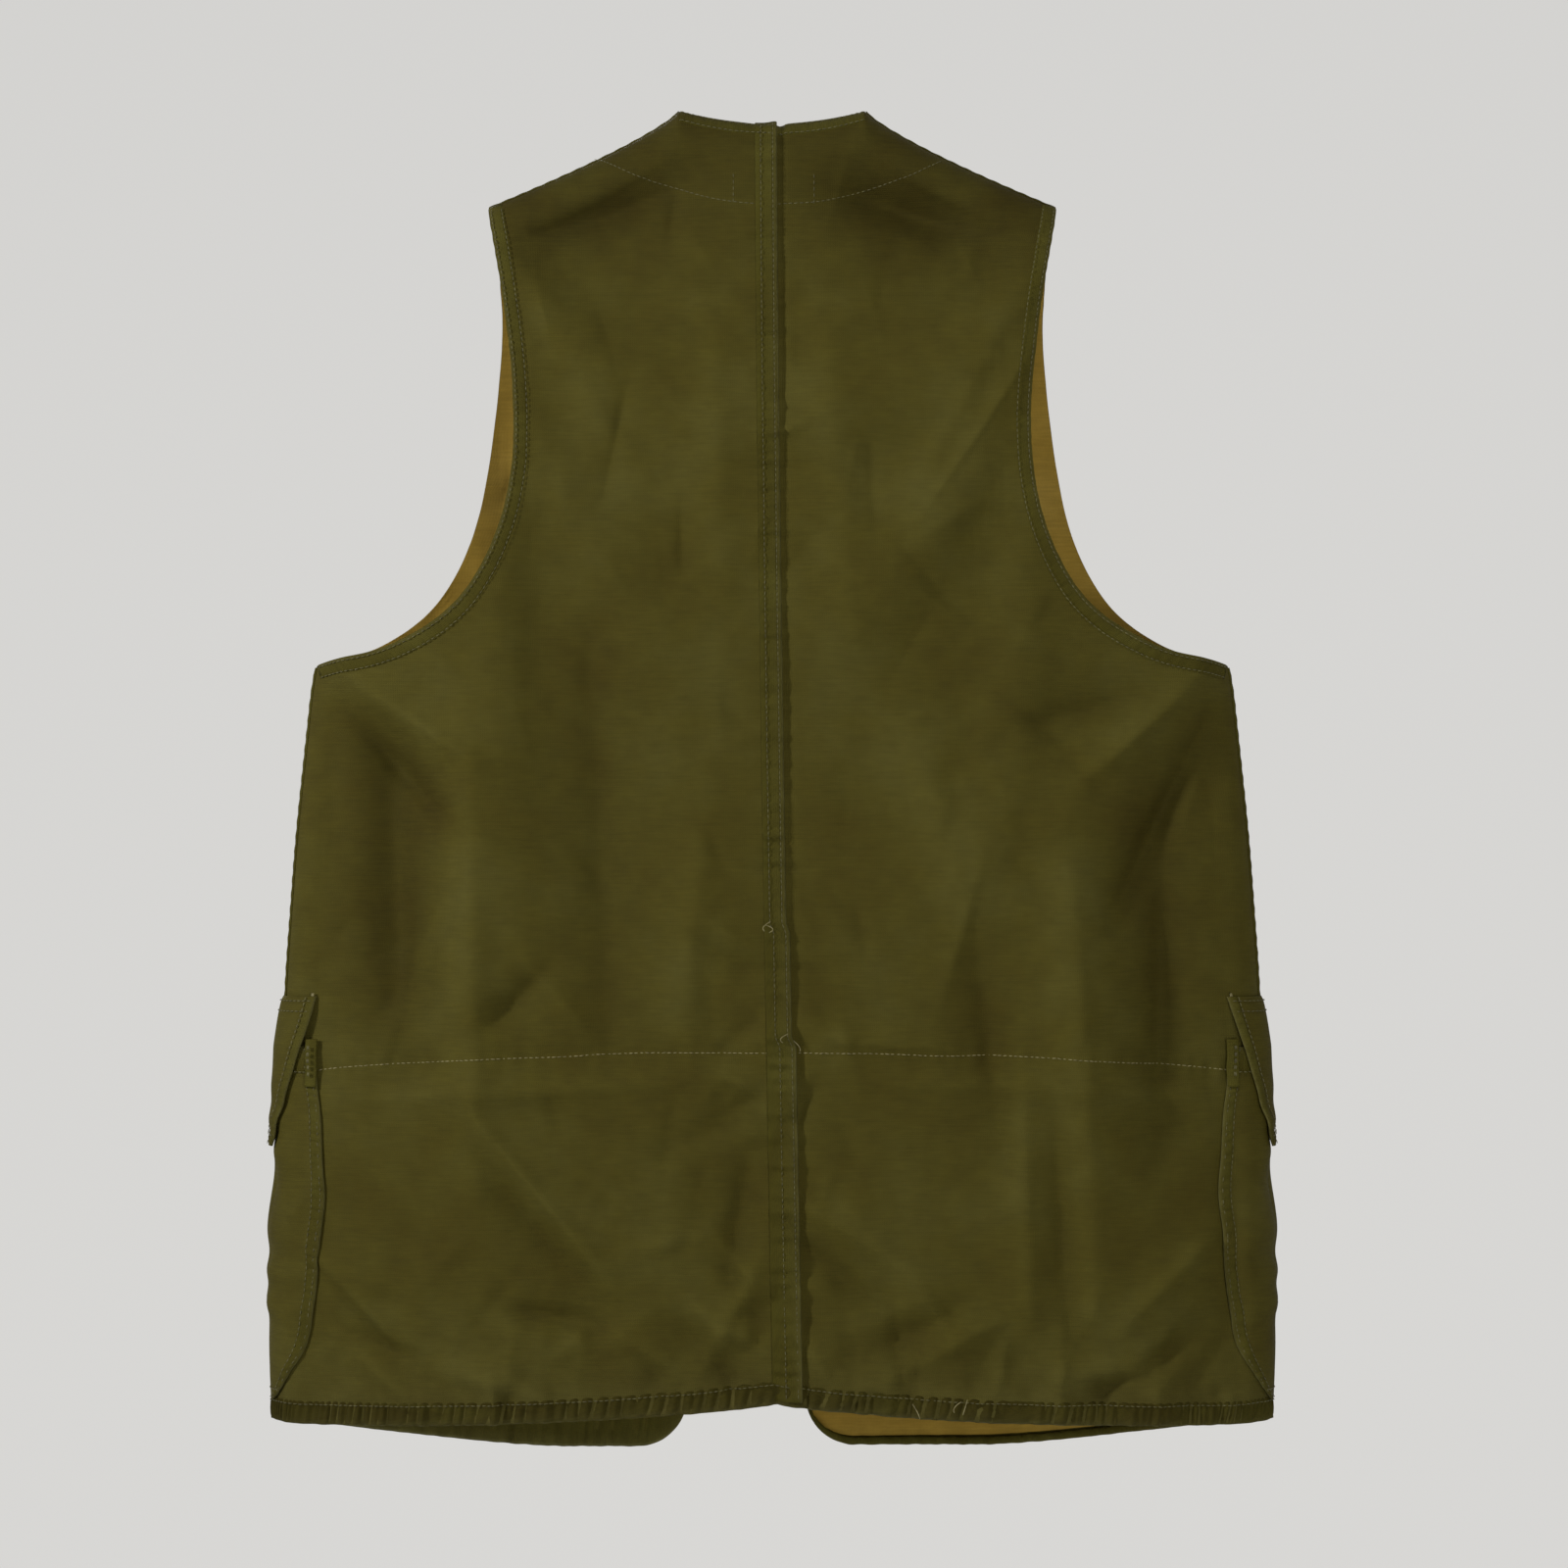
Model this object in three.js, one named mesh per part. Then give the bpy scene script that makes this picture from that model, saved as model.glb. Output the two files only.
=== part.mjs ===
// Canvas fishing vest, hanging on a hanger, seen as a three.js model in millimetres.
// +Z is up, the wearer faces -Y, and the wearer's left is +X.
// The origin is the seat of the hanger: midway between the two neck corners, at their height.
//
// Every cloth piece lies on one smooth tube, the hanging shape of the vest. A point of the tube
// is given by its distance from the middle (x), its height (z) and whether it is on the front
// or the back. Layers of cloth are shells of the tube, a little further in or out.
import * as THREE from 'three';

// ---- driving dimensions ----

const NECK_HALF = 57.4;          // neck corner, from the middle
const SHOULDER_HALF = 175;       // shoulder tip, from the middle
const SHOULDER_DROP = 60;        // how far the shoulder tip lies below the neck corner
const SHOULDER_HOLLOW = 0.8;     // power that makes the shoulder steeper beside the neck
const NECK_DIP = 9;              // dip of the back neck edge
const NECK_LIFT = 3;             // how far the back neck edge stands behind the ridge of the shoulders
const UNDERARM = { x: 282, z: -342 };
const HEM_SIDE = -806;           // hem height at the side seams
const HEM_BACK_MIDDLE = -790;
const HEM_FRONT = -830;          // lowest stretch of the front hem

const TOP_DEPTH = 28;            // half the front-to-back depth at the shoulders
const DEPTH_GROWTH = 0.03;       // how much the half depth grows for each millimetre further down
const RIDGE_ROUND = 28;          // height over which the cloth rounds over the hanger
const SEAM_GAP = 0.5;            // each side's share of the gap where front and back meet

const SHELL = 1.6;               // outer canvas, as thick as its two plies and their seams
const LINING = 1.2;
const LAYER_GAP = 1.2;           // clearance between layers, which keeps their facets apart

const BUTTON_RADIUS = 9.5;
const SNAP_RADIUS = 7.5;

const LEFT = { name: 'left', sign: 1 };
const RIGHT = { name: 'right', sign: -1 };
const SIDES = [LEFT, RIGHT];
const BACK = 1;
const FRONT = -1;

// ---- small helpers ----

const mix = (a, b, t) => a + (b - a) * t;
const clamp01 = (t) => Math.min(1, Math.max(0, t));
const fade = (v, reach) => (1 - clamp01(v / reach)) ** 2;

// Even steps near the middle, finer ones towards the side seam, where the cloth turns round.
const towardsSide = (u) => 1.5 * u - 0.5 * u ** 3;

// Fine steps at the shoulder, where the cloth rounds over the hanger, and longer ones further down.
const towardsHem = (v) => v ** 1.8;

// A smooth line through a few points, read by its length from 0 to 1.
function lineThrough(points) {
  const curve = new THREE.CatmullRomCurve3(points.map(([x, z]) => new THREE.Vector3(x, 0, z)));
  return (v) => curve.getPointAt(clamp01(v));
}

// The value at height z of a profile given as [z, value] pairs from the top down.
function valueAt(profile, z) {
  for (let i = 1; i < profile.length; i++) {
    const [zHigh, high] = profile[i - 1];
    const [zLow, low] = profile[i];
    if (z >= zLow || i === profile.length - 1) {
      return mix(high, low, clamp01((zHigh - z) / (zHigh - zLow)));
    }
  }
  return profile[0][1];
}

// ---- the hanging shape of the vest ----

// Half width of the tube at each height.
const TUBE_WIDTH = [
  [0, 184],
  [UNDERARM.z, UNDERARM.x],
  [-445, 293],
  [-540, 300],
  [-700, 304],
  [HEM_SIDE, 308],
];
const tubeHalf = (z) => valueAt(TUBE_WIDTH, z);
const halfDepth = (z) => TOP_DEPTH + DEPTH_GROWTH * -z;

// The shoulder line, from the neck corner out to the tip.
function shoulderHeight(x) {
  const out = clamp01((Math.abs(x) - NECK_HALF) / (SHOULDER_HALF - NECK_HALF));
  return -SHOULDER_DROP * out ** SHOULDER_HOLLOW;
}

function backNeckHeight(x) {
  return -NECK_DIP * (1 - clamp01(Math.abs(x) / NECK_HALF) ** 2);
}

const backTop = (x) => (Math.abs(x) < NECK_HALF ? backNeckHeight(x) : shoulderHeight(x));

// The ridge that the cloth hangs over: the shoulder line, carried on between the neck corners.
function ridgeHeight(x, face) {
  if (face === FRONT || Math.abs(x) >= NECK_HALF) return shoulderHeight(x);
  return backNeckHeight(x) + NECK_LIFT * (1 - (x / NECK_HALF) ** 2);
}

// A point of the tube: a rounded box in plan, which closes over the hanger at the ridge.
function onTube(x, z, face) {
  const out = Math.min(1, Math.abs(x) / tubeHalf(z));
  const below = clamp01((ridgeHeight(x, face) - z) / RIDGE_ROUND);
  const overHanger = Math.sqrt(1 - (1 - below) ** 2);
  const depth = halfDepth(z) * Math.sqrt(1 - out ** 4) * overHanger;
  return new THREE.Vector3(x, face * (SEAM_GAP + depth), z);
}

// A point of the tube from its way round: -1 is the middle of the front, 0 the side seam and
// 1 the middle of the back.
function roundSide(way, z, side) {
  const x = tubeHalf(z) * towardsSide(1 - Math.abs(way));
  const out = x / tubeHalf(z);
  const depth = halfDepth(z) * Math.sqrt(Math.max(0, 1 - out ** 4));
  return new THREE.Vector3(side.sign * x, Math.sign(way) * depth, z);
}

// ---- outlines of the pieces ----

const BACK_EDGE = lineThrough([
  [SHOULDER_HALF, -SHOULDER_DROP], [163, -130], [158, -200], [166, -255],
  [190, -301], [231, -329], [UNDERARM.x, UNDERARM.z],
]);
const FRONT_EDGE = lineThrough([
  [SHOULDER_HALF, -SHOULDER_DROP], [168, -125], [175, -200], [187, -260],
  [209, -303], [242, -329], [UNDERARM.x, UNDERARM.z],
]);
const ROWS = 16;                 // rows of facets from shoulder to hem
const ARMHOLE_ROWS = 10;         // the first of them, which end at the underarm
const ARMHOLE_SHARE = towardsHem(ARMHOLE_ROWS / ROWS);

// The outer edge of a front or back panel: the armhole, then the side seam down to the hem.
function outerEdge(v, face) {
  if (v < ARMHOLE_SHARE) {
    const p = (face === BACK ? BACK_EDGE : FRONT_EDGE)(v / ARMHOLE_SHARE);
    return { x: Math.min(p.x, tubeHalf(p.z)), z: p.z };
  }
  const z = mix(UNDERARM.z, HEM_SIDE, (v - ARMHOLE_SHARE) / (1 - ARMHOLE_SHARE));
  return { x: tubeHalf(z), z };
}

const backHem = (x) => mix(HEM_SIDE, HEM_BACK_MIDDLE, Math.exp(-Math.abs(x) / 110));

function frontHem(x) {
  const out = clamp01((Math.abs(x) - FOLD.hem) / (tubeHalf(HEM_SIDE) - FOLD.hem));
  return mix(HEM_FRONT, HEM_SIDE, out ** 1.5);
}

// Each front folds open along a straight line from the neck corner down to the hem.
const FOLD = { neck: NECK_HALF, hem: 130 };
const foldX = (z) => mix(FOLD.neck, FOLD.hem, z / HEM_FRONT);

// The free front edges: a V neck down to its point, then a line that drifts open to the hem.
const V_POINT = -235;
const V_CURVE = 1.15;
const FRONT_EDGES = {
  left: { vPoint: 8, hem: 53 },
  right: { vPoint: 4, hem: 20 },
};
const CORNER_RADIUS = 32;        // rounded lower corner of each front

function freeEdgeX(z, side) {
  const edge = FRONT_EDGES[side.name];
  if (z > V_POINT) return mix(edge.vPoint, NECK_HALF, (1 - z / V_POINT) ** V_CURVE);
  return mix(edge.vPoint, edge.hem, ((z - V_POINT) / (HEM_FRONT - V_POINT)) ** 1.4);
}

// ---- maps from a unit square onto each region of the tube ----

// The back half: u from the centre seam to the side, v from the neck and shoulder to the hem.
function backHalf(side) {
  return (u, v) => {
    const down = towardsHem(v);
    const edge = outerEdge(down, BACK);
    const x = mix(SEAM_GAP, edge.x, towardsSide(u));
    const topX = mix(SEAM_GAP, SHOULDER_HALF, towardsSide(u));
    const straight = mix(mix(-NECK_DIP, HEM_BACK_MIDDLE, down), edge.z, towardsSide(u));
    const topBend = backTop(topX) - mix(-NECK_DIP, -SHOULDER_DROP, towardsSide(u));
    const hemX = tubeHalf(HEM_SIDE) * towardsSide(u);
    const hemBend = backHem(hemX) - mix(HEM_BACK_MIDDLE, HEM_SIDE, towardsSide(u));
    const z = straight + topBend * fade(down, 0.2) + hemBend * fade(1 - down, 0.2);
    return onTube(side.sign * x, z, BACK);
  };
}

// The outer part of a front: u from the fold line to the side, v from the shoulder to the hem.
function frontOuter(side) {
  return (u, v) => {
    const down = towardsHem(v);
    const across = towardsSide(u);
    const edge = outerEdge(down, FRONT);
    const foldZ = mix(0, HEM_FRONT, down);
    const x = mix(foldX(foldZ) + SEAM_GAP, edge.x, across);
    const topX = mix(NECK_HALF + SEAM_GAP, SHOULDER_HALF, across);
    const hemX = mix(FOLD.hem, tubeHalf(HEM_SIDE), across);
    const topBend = shoulderHeight(topX) + SHOULDER_DROP * across;
    const hemBend = frontHem(hemX) - mix(HEM_FRONT, HEM_SIDE, across);
    const z = mix(foldZ, edge.z, across) + topBend * fade(down, 0.2) + hemBend * fade(1 - down, 0.2);
    return onTube(side.sign * x, z, FRONT);
  };
}

// The inner part of a front, which swings: u from the free edge to the fold line.
const EDGE_TOP = -20;            // the swinging part starts just under the neck corner
function frontInner(side) {
  return (u, v) => {
    const hemFrom = FRONT_EDGES[side.name].hem;
    const hemX = mix(hemFrom, FOLD.hem, u);
    const inCorner = Math.max(0, CORNER_RADIUS - (hemX - hemFrom));
    const cornerRise = CORNER_RADIUS - Math.sqrt(CORNER_RADIUS ** 2 - inCorner ** 2);
    const z = mix(EDGE_TOP, HEM_FRONT + cornerRise, v);
    const x = mix(freeEdgeX(z, side), foldX(z) - SEAM_GAP, u);
    return onTube(side.sign * x, z, FRONT);
  };
}

// Part of a map: the stretch from u0 to u1 and from v0 to v1.
const partOf = (map, u0, u1, v0, v1) => (u, v) => map(mix(u0, u1, u), mix(v0, v1, v));

// ---- building one closed sheet of cloth ----

// The direction out of the vest at a point of a map.
function outwardNormal(map, u, v) {
  const step = 1e-3;
  const alongU = map(Math.min(1, u + step), v).sub(map(Math.max(0, u - step), v));
  const alongV = map(u, Math.min(1, v + step)).sub(map(u, Math.max(0, v - step)));
  const normal = alongU.cross(alongV).normalize();
  const p = map(u, v);
  const fromInside = new THREE.Vector3(p.x, p.y, 2 * RIDGE_ROUND);
  return normal.dot(fromInside) < 0 ? normal.negate() : normal;
}

// Turns a mesh's triangles round when they face inwards.
function faceOutwards(geometry) {
  const p = geometry.attributes.position;
  const corner = [new THREE.Vector3(), new THREE.Vector3(), new THREE.Vector3()];
  let volume = 0;
  for (let i = 0; i < geometry.index.count; i += 3) {
    corner.forEach((c, k) => c.fromBufferAttribute(p, geometry.index.getX(i + k)));
    volume += corner[0].dot(corner[1].clone().cross(corner[2]));
  }
  if (volume > 0) return geometry;
  for (let i = 0; i < geometry.index.count; i += 3) {
    const first = geometry.index.getX(i);
    geometry.index.setX(i, geometry.index.getX(i + 1));
    geometry.index.setX(i + 1, first);
  }
  return geometry;
}

// A box bent onto a map. from and to are its faces' distances out of the tube, as numbers or as
// functions of u and v.
function bentSheet({ map, across, down, from, to }) {
  const read = (value, u, v) => (typeof value === 'function' ? value(u, v) : value);
  const geometry = new THREE.BoxGeometry(1, 1, 1, across, down, 1);
  const points = geometry.attributes.position;
  for (let i = 0; i < points.count; i++) {
    const u = clamp01(points.getX(i) + 0.5);
    const v = clamp01(0.5 - points.getY(i));
    const through = points.getZ(i) + 0.5;
    const out = mix(read(from, u, v), read(to, u, v), through);
    const p = map(u, v).addScaledVector(outwardNormal(map, u, v), out);
    points.setXYZ(i, p.x, p.y, p.z);
  }
  return faceOutwards(geometry);
}

// ---- finishes ----

const FINISH = {
  canvas: { color: 0x4d4722, roughness: 0.92, metalness: 0 },
  canvasWorn: { color: 0x565026, roughness: 0.92, metalness: 0 },
  lining: { color: 0x80692d, roughness: 0.9, metalness: 0 },
  tape: { color: 0x6d6534, roughness: 0.9, metalness: 0 },
  label: { color: 0x8d8058, roughness: 0.85, metalness: 0 },
  button: { color: 0x3a2818, roughness: 0.45, metalness: 0 },
  brass: { color: 0x8a6a33, roughness: 0.4, metalness: 1 },
};

const vest = new THREE.Group();

function add(name, geometry, finish) {
  const mesh = new THREE.Mesh(geometry, new THREE.MeshStandardMaterial(FINISH[finish]));
  mesh.name = name;
  vest.add(mesh);
  return mesh;
}

const outerLayer = { from: 0, to: SHELL };
const innerLayer = { from: -2 * LAYER_GAP - LINING, to: -2 * LAYER_GAP };
const secondInnerLayer = { from: -4 * LAYER_GAP - 2 * LINING, to: -4 * LAYER_GAP - LINING };
const capLayer = { from: SHELL + LAYER_GAP, to: 2 * SHELL + LAYER_GAP };

// ---- back ----

const BACK_GRID = { across: 9, down: ROWS };

function addBackPanel(side) {
  add(`back_panel_${side.name}`, bentSheet({ map: backHalf(side), ...BACK_GRID, ...outerLayer }), 'canvas');
}

// The raised, felled seam down the middle of the back.
function addCentreBackSeam() {
  const seamWidth = 10;
  const map = (u, v) => {
    const z = mix(-NECK_DIP, HEM_BACK_MIDDLE, towardsHem(v));
    return onTube(mix(-seamWidth / 2, seamWidth / 2, u), z, BACK);
  };
  add('centre_back_seam', bentSheet({ map, across: 1, down: BACK_GRID.down, ...capLayer }), 'canvasWorn');
}

// The crescent that lines the back neck, from shoulder to shoulder.
function addBackNeckFacing() {
  const half = 98;
  const lowest = -60;
  const rise = 22;
  const belowTop = 5;
  const map = (u, v) => {
    const x = mix(-half, half, u);
    return onTube(x, mix(backTop(x) - belowTop, lowest + rise * (x / half) ** 2, v), BACK);
  };
  add('back_neck_facing', bentSheet({ map, across: 14, down: 5, ...innerLayer }), 'lining');
}

// A plain woven label, sewn inside the neck facing.
function addNeckLabel() {
  const map = (u, v) => onTube(mix(-25, 25, u), mix(-34, -58, v), BACK);
  add('neck_label', bentSheet({ map, across: 3, down: 2, ...secondInnerLayer }), 'label');
}

// A strip that lines the armhole: the last two columns of the back panel's facets.
function addBackArmholeFacing(side) {
  const { across } = BACK_GRID;
  const map = partOf(backHalf(side), 1 - 2 / across, 1, 1 / ROWS, ARMHOLE_ROWS / ROWS);
  const sheet = bentSheet({ map, across: 2, down: ARMHOLE_ROWS - 1, ...innerLayer });
  add(`back_armhole_facing_${side.name}`, sheet, 'tape');
}

// The inner wall of the rear game pocket: sewn along its top and at the hem, and open at both
// ends, where it is reached from inside the fronts.
const GAME = { top: -578, bottom: -776, half: 240, depth: 26, rim: 4 };
function addGamePocketPanel() {
  const map = (u, v) => onTube(mix(-GAME.half, GAME.half, u), mix(GAME.top, GAME.bottom, v), BACK);
  const bulge = (v) => Math.min(1, 1.9 * Math.sin(Math.PI * v) ** 0.7);
  const from = (u, v) => -GAME.rim - (GAME.depth - GAME.rim) * bulge(v);
  const to = (u, v) => from(u, v) + LINING;
  add('game_pocket_panel', bentSheet({ map, across: 12, down: 8, from, to }), 'lining');
}

function addBackHemFacing() {
  const height = 11;
  const map = (u, v) => {
    const along = 2 * u - 1;
    const x = 0.97 * tubeHalf(HEM_SIDE) * Math.sign(along) * towardsSide(Math.abs(along));
    return onTube(x, backHem(x) + mix(height, 1, v), BACK);
  };
  add('back_hem_facing', bentSheet({ map, across: 18, down: 1, ...innerLayer }), 'tape');
}

// ---- seams that join back and front ----

function addShoulderTape(side) {
  const width = 12;
  const map = (u, v) => {
    const x = mix(NECK_HALF + 2, SHOULDER_HALF - 2, v);
    const y = mix(-width / 2, width / 2, u);
    const sag = RIDGE_ROUND - Math.sqrt(RIDGE_ROUND ** 2 - y ** 2);
    return new THREE.Vector3(side.sign * x, y, shoulderHeight(x) - 1.5 * sag);
  };
  const sheet = bentSheet({ map, across: 2, down: 6, ...secondInnerLayer });
  add(`shoulder_tape_${side.name}`, sheet, 'tape');
}

function addSideSeamTape(side) {
  const reach = 0.045;
  const map = (u, v) => {
    const z = mix(UNDERARM.z - 12, HEM_SIDE + 28, v);
    return roundSide(mix(-reach, reach, u), z, side);
  };
  const sheet = bentSheet({ map, across: 2, down: 8, ...secondInnerLayer });
  add(`side_seam_tape_${side.name}`, sheet, 'tape');
}

// ---- fronts ----

const FRONT_GRID = { across: 7, down: ROWS };

function addFrontPanel(side) {
  const map = frontOuter(side);
  add(`front_panel_${side.name}`, bentSheet({ map, ...FRONT_GRID, ...outerLayer }), 'canvas');
  const inset = partOf(map, 0, 1 - 1 / FRONT_GRID.across, 1 / ROWS, 1 - 1 / ROWS);
  const lining = bentSheet({ map: inset, across: FRONT_GRID.across - 1, down: ROWS - 2, ...innerLayer });
  add(`front_lining_${side.name}`, lining, 'lining');
}

function addFrontHemFacing(side) {
  const height = 12;
  const map = (u, v) => {
    const x = mix(FOLD.hem + 3, 0.97 * tubeHalf(HEM_SIDE), towardsSide(u));
    return onTube(side.sign * x, frontHem(x) + mix(height, 1, v), FRONT);
  };
  const sheet = bentSheet({ map, across: 9, down: 1, ...secondInnerLayer });
  add(`front_hem_facing_${side.name}`, sheet, 'tape');
}

// The swinging inner part of each front, with its wide facing behind it.
const EDGE_GRID = { across: 6, down: 14 };
function addFrontEdge(side) {
  const map = frontInner(side);
  add(`front_edge_${side.name}`, bentSheet({ map, ...EDGE_GRID, ...outerLayer }), 'canvas');
  const inset = partOf(map, 0.03, 1, 0.02, 0.995);
  add(`front_edge_facing_${side.name}`, bentSheet({ map: inset, ...EDGE_GRID, ...innerLayer }), 'tape');
}

// ---- fastenings ----

// Turns a lathed piece, made along +Y, to face out of the front at a point.
function faceFront(mesh, point) {
  mesh.rotation.x = Math.PI;
  mesh.position.copy(point);
}

function lathed(profile, steps) {
  return new THREE.LatheGeometry(profile.map(([r, h]) => new THREE.Vector2(r, h)), steps);
}

function addButtons() {
  const count = 5;
  const first = -262;
  const spacing = 105;
  const profile = [[0, 0], [BUTTON_RADIUS, 0], [BUTTON_RADIUS, 2.4], [BUTTON_RADIUS - 2, 3.2], [0, 2.6]];
  for (let i = 0; i < count; i++) {
    const z = first - i * spacing;
    const x = freeEdgeX(z, RIGHT) + 16;
    const p = onTube(-x, z, FRONT);
    p.y -= SHELL + LAYER_GAP;
    faceFront(add(`front_button_${i + 1}`, lathed(profile, 16), 'button'), p);
  }
}

const CAP_PROFILE = [[0, 0], [SNAP_RADIUS, 0], [SNAP_RADIUS, 0.8], [SNAP_RADIUS - 1.5, 2], [0, 2.6]];
const STUD_PROFILE = [[0, 0], [4.5, 0], [4.5, 0.5], [2.2, 0.6], [2.2, 1.1], [0, 1.3]];

// ---- pockets ----

// A pocket is a pouch on the front: width along the tube, height, and how far it stands out.
// A flap is sewn above its mouth and hangs over it.
const LOWER = {
  name: 'lower', wayFront: -0.705, wayRear: 0.24, top: -576, bottom: -794, depth: 30,
  flapTop: -545, flapLength: 88, flapFront: -0.715, flapRear: -0.2, grid: { across: 12, down: 8 },
};
const CHEST = {
  name: 'chest', wayFront: -0.755, wayRear: -0.44, top: -360, bottom: -478, depth: 18,
  flapTop: -340, flapLength: 52, flapFront: -0.765, flapRear: -0.43, grid: { across: 7, down: 7 },
};
const MOUTH_OPEN = 0.55;         // how far the mouth stands open, as a share of the depth
const SIDE_SHARE = 0.14;         // how far the pouch stands out at the side seam and behind it
const FLAP_GAP = 3.4;            // room for the press stud between pouch and flap

// How far the pouch wall stands off the front panel.
function pouchOut(pocket, way, z) {
  const across = clamp01((way - pocket.wayFront) / (pocket.wayRear - pocket.wayFront));
  const down = clamp01((pocket.top - z) / (pocket.top - pocket.bottom));
  const round = Math.sin(Math.PI * across) ** 0.5;
  const sideLess = way > -0.3 ? mix(1, SIDE_SHARE, clamp01((way + 0.3) / 0.3)) : 1;
  const full = down < 0.65 ? mix(MOUTH_OPEN, 1, down / 0.65) : Math.cos((Math.PI / 2) * (down - 0.65) / 0.35);
  return SHELL + LAYER_GAP + pocket.depth * round * sideLess * full;
}

function addPouch(pocket, side) {
  const wayAt = (u) => mix(pocket.wayFront, pocket.wayRear, u);
  const zAt = (v) => mix(pocket.top, pocket.bottom, v);
  const map = (u, v) => roundSide(wayAt(u), zAt(v), side);
  const from = (u, v) => pouchOut(pocket, wayAt(u), zAt(v));
  const to = (u, v) => from(u, v) + SHELL;
  const sheet = bentSheet({ map, ...pocket.grid, from, to });
  add(`${pocket.name}_pocket_${side.name}`, sheet, 'canvas');
}

// The flap leaves the panel at its sewn top and clears the pouch below the mouth.
function flapOut(pocket, way, z) {
  const clear = pouchOut(pocket, way, z) + SHELL + FLAP_GAP;
  const down = clamp01((pocket.flapTop - z) / (pocket.flapTop - pocket.top));
  return mix(SHELL + LAYER_GAP, clear, down ** 0.6);
}

function addFlap(pocket, side) {
  const wayAt = (u) => mix(pocket.flapFront, pocket.flapRear, u);
  const zAt = (v) => pocket.flapTop - pocket.flapLength * v;
  const map = (u, v) => roundSide(wayAt(u), zAt(v), side);
  const from = (u, v) => flapOut(pocket, wayAt(u), zAt(v));
  const to = (u, v) => from(u, v) + SHELL;
  const sheet = bentSheet({ map, across: 6, down: 6, from, to });
  add(`${pocket.name}_flap_${side.name}`, sheet, 'canvas');
}

// The press stud: its cap on the flap, and its post on the pouch behind.
function addSnap(pocket, side) {
  const way = mix(pocket.flapFront, pocket.flapRear, 0.45);
  const z = pocket.flapTop - pocket.flapLength + 16;
  const cap = roundSide(way, z, side);
  cap.y -= flapOut(pocket, way, z) + SHELL + LAYER_GAP;
  faceFront(add(`${pocket.name}_flap_cap_${side.name}`, lathed(CAP_PROFILE, 16), 'brass'), cap);
  const post = roundSide(way, z, side);
  post.y -= pouchOut(pocket, way, z) + SHELL + LAYER_GAP;
  faceFront(add(`${pocket.name}_pocket_stud_${side.name}`, lathed(STUD_PROFILE, 12), 'brass'), post);
}

// The small tab that strengthens the rear top corner of a lower pocket.
function addPocketTab(side) {
  const map = (u, v) => roundSide(mix(0.19, 0.245, u), mix(-573, -597, v), side);
  const out = SHELL + 2 * LAYER_GAP + 6;
  const sheet = bentSheet({ map, across: 2, down: 2, from: out, to: out + SHELL });
  add(`pocket_tab_${side.name}`, sheet, 'canvasWorn');
}

// ---- the whole vest ----

for (const side of SIDES) addBackPanel(side);
addCentreBackSeam();
addBackNeckFacing();
addNeckLabel();
addGamePocketPanel();
addBackHemFacing();
for (const side of SIDES) {
  addBackArmholeFacing(side);
  addShoulderTape(side);
  addSideSeamTape(side);
  addFrontPanel(side);
  addFrontHemFacing(side);
  addFrontEdge(side);
  for (const pocket of [LOWER, CHEST]) {
    addPouch(pocket, side);
    addFlap(pocket, side);
    addSnap(pocket, side);
  }
  addPocketTab(side);
}
addButtons();

export default vest;
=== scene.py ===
# %% [markdown]
# # A canvas fishing vest on its hanging shape
# The vest is cotton duck, sewn from a few flat panels. The measured model of it is loaded first
# and stays fixed: it says where each panel, pocket and button is. This notebook then makes the
# cloth itself, as bent sheets with folds, hems, seams and thread, in metres.

# %% Load the frame
import math

import bmesh
import bpy
import numpy as np
from mathutils import Matrix, Vector


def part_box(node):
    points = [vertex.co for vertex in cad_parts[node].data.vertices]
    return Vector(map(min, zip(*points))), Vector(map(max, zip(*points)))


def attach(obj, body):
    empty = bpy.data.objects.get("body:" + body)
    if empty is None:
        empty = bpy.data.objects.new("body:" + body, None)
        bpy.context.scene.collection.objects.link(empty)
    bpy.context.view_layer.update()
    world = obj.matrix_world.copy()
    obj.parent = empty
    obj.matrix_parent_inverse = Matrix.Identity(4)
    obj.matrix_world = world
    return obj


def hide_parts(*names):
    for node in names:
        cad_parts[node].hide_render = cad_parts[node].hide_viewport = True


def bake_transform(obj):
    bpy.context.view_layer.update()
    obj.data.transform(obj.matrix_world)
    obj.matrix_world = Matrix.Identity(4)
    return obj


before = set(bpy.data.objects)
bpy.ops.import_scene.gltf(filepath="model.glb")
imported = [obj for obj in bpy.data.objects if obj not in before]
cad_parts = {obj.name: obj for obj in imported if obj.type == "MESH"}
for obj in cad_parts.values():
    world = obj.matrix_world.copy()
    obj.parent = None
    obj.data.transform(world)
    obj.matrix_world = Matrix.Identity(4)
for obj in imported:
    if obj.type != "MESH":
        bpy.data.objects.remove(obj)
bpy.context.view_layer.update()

# %% [markdown]
# ## Camera and light
# The vest is looked at from behind, straight on, from far enough away that its sides stay
# upright. A long lens does that. One soft lamp rakes across the cloth from the side and another
# from above, so folds of every direction show. A low lamp lifts the far flank, and one in front
# lights the side that the camera doesn't see. The wall behind is brighter than the room on the
# camera's side.

# %% Camera, lamps and floor
MIDDLE = Vector((-0.0072, 0.045, -0.4146))
CAMERA_AWAY = 2.6
FRAME_WIDTH = 0.951
SENSOR_WIDTH = 36
scene = bpy.context.scene


def new_object(name, data):
    """Puts new data into the scene as an object."""
    thing = bpy.data.objects.new(name, data)
    scene.collection.objects.link(thing)
    return thing


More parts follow.
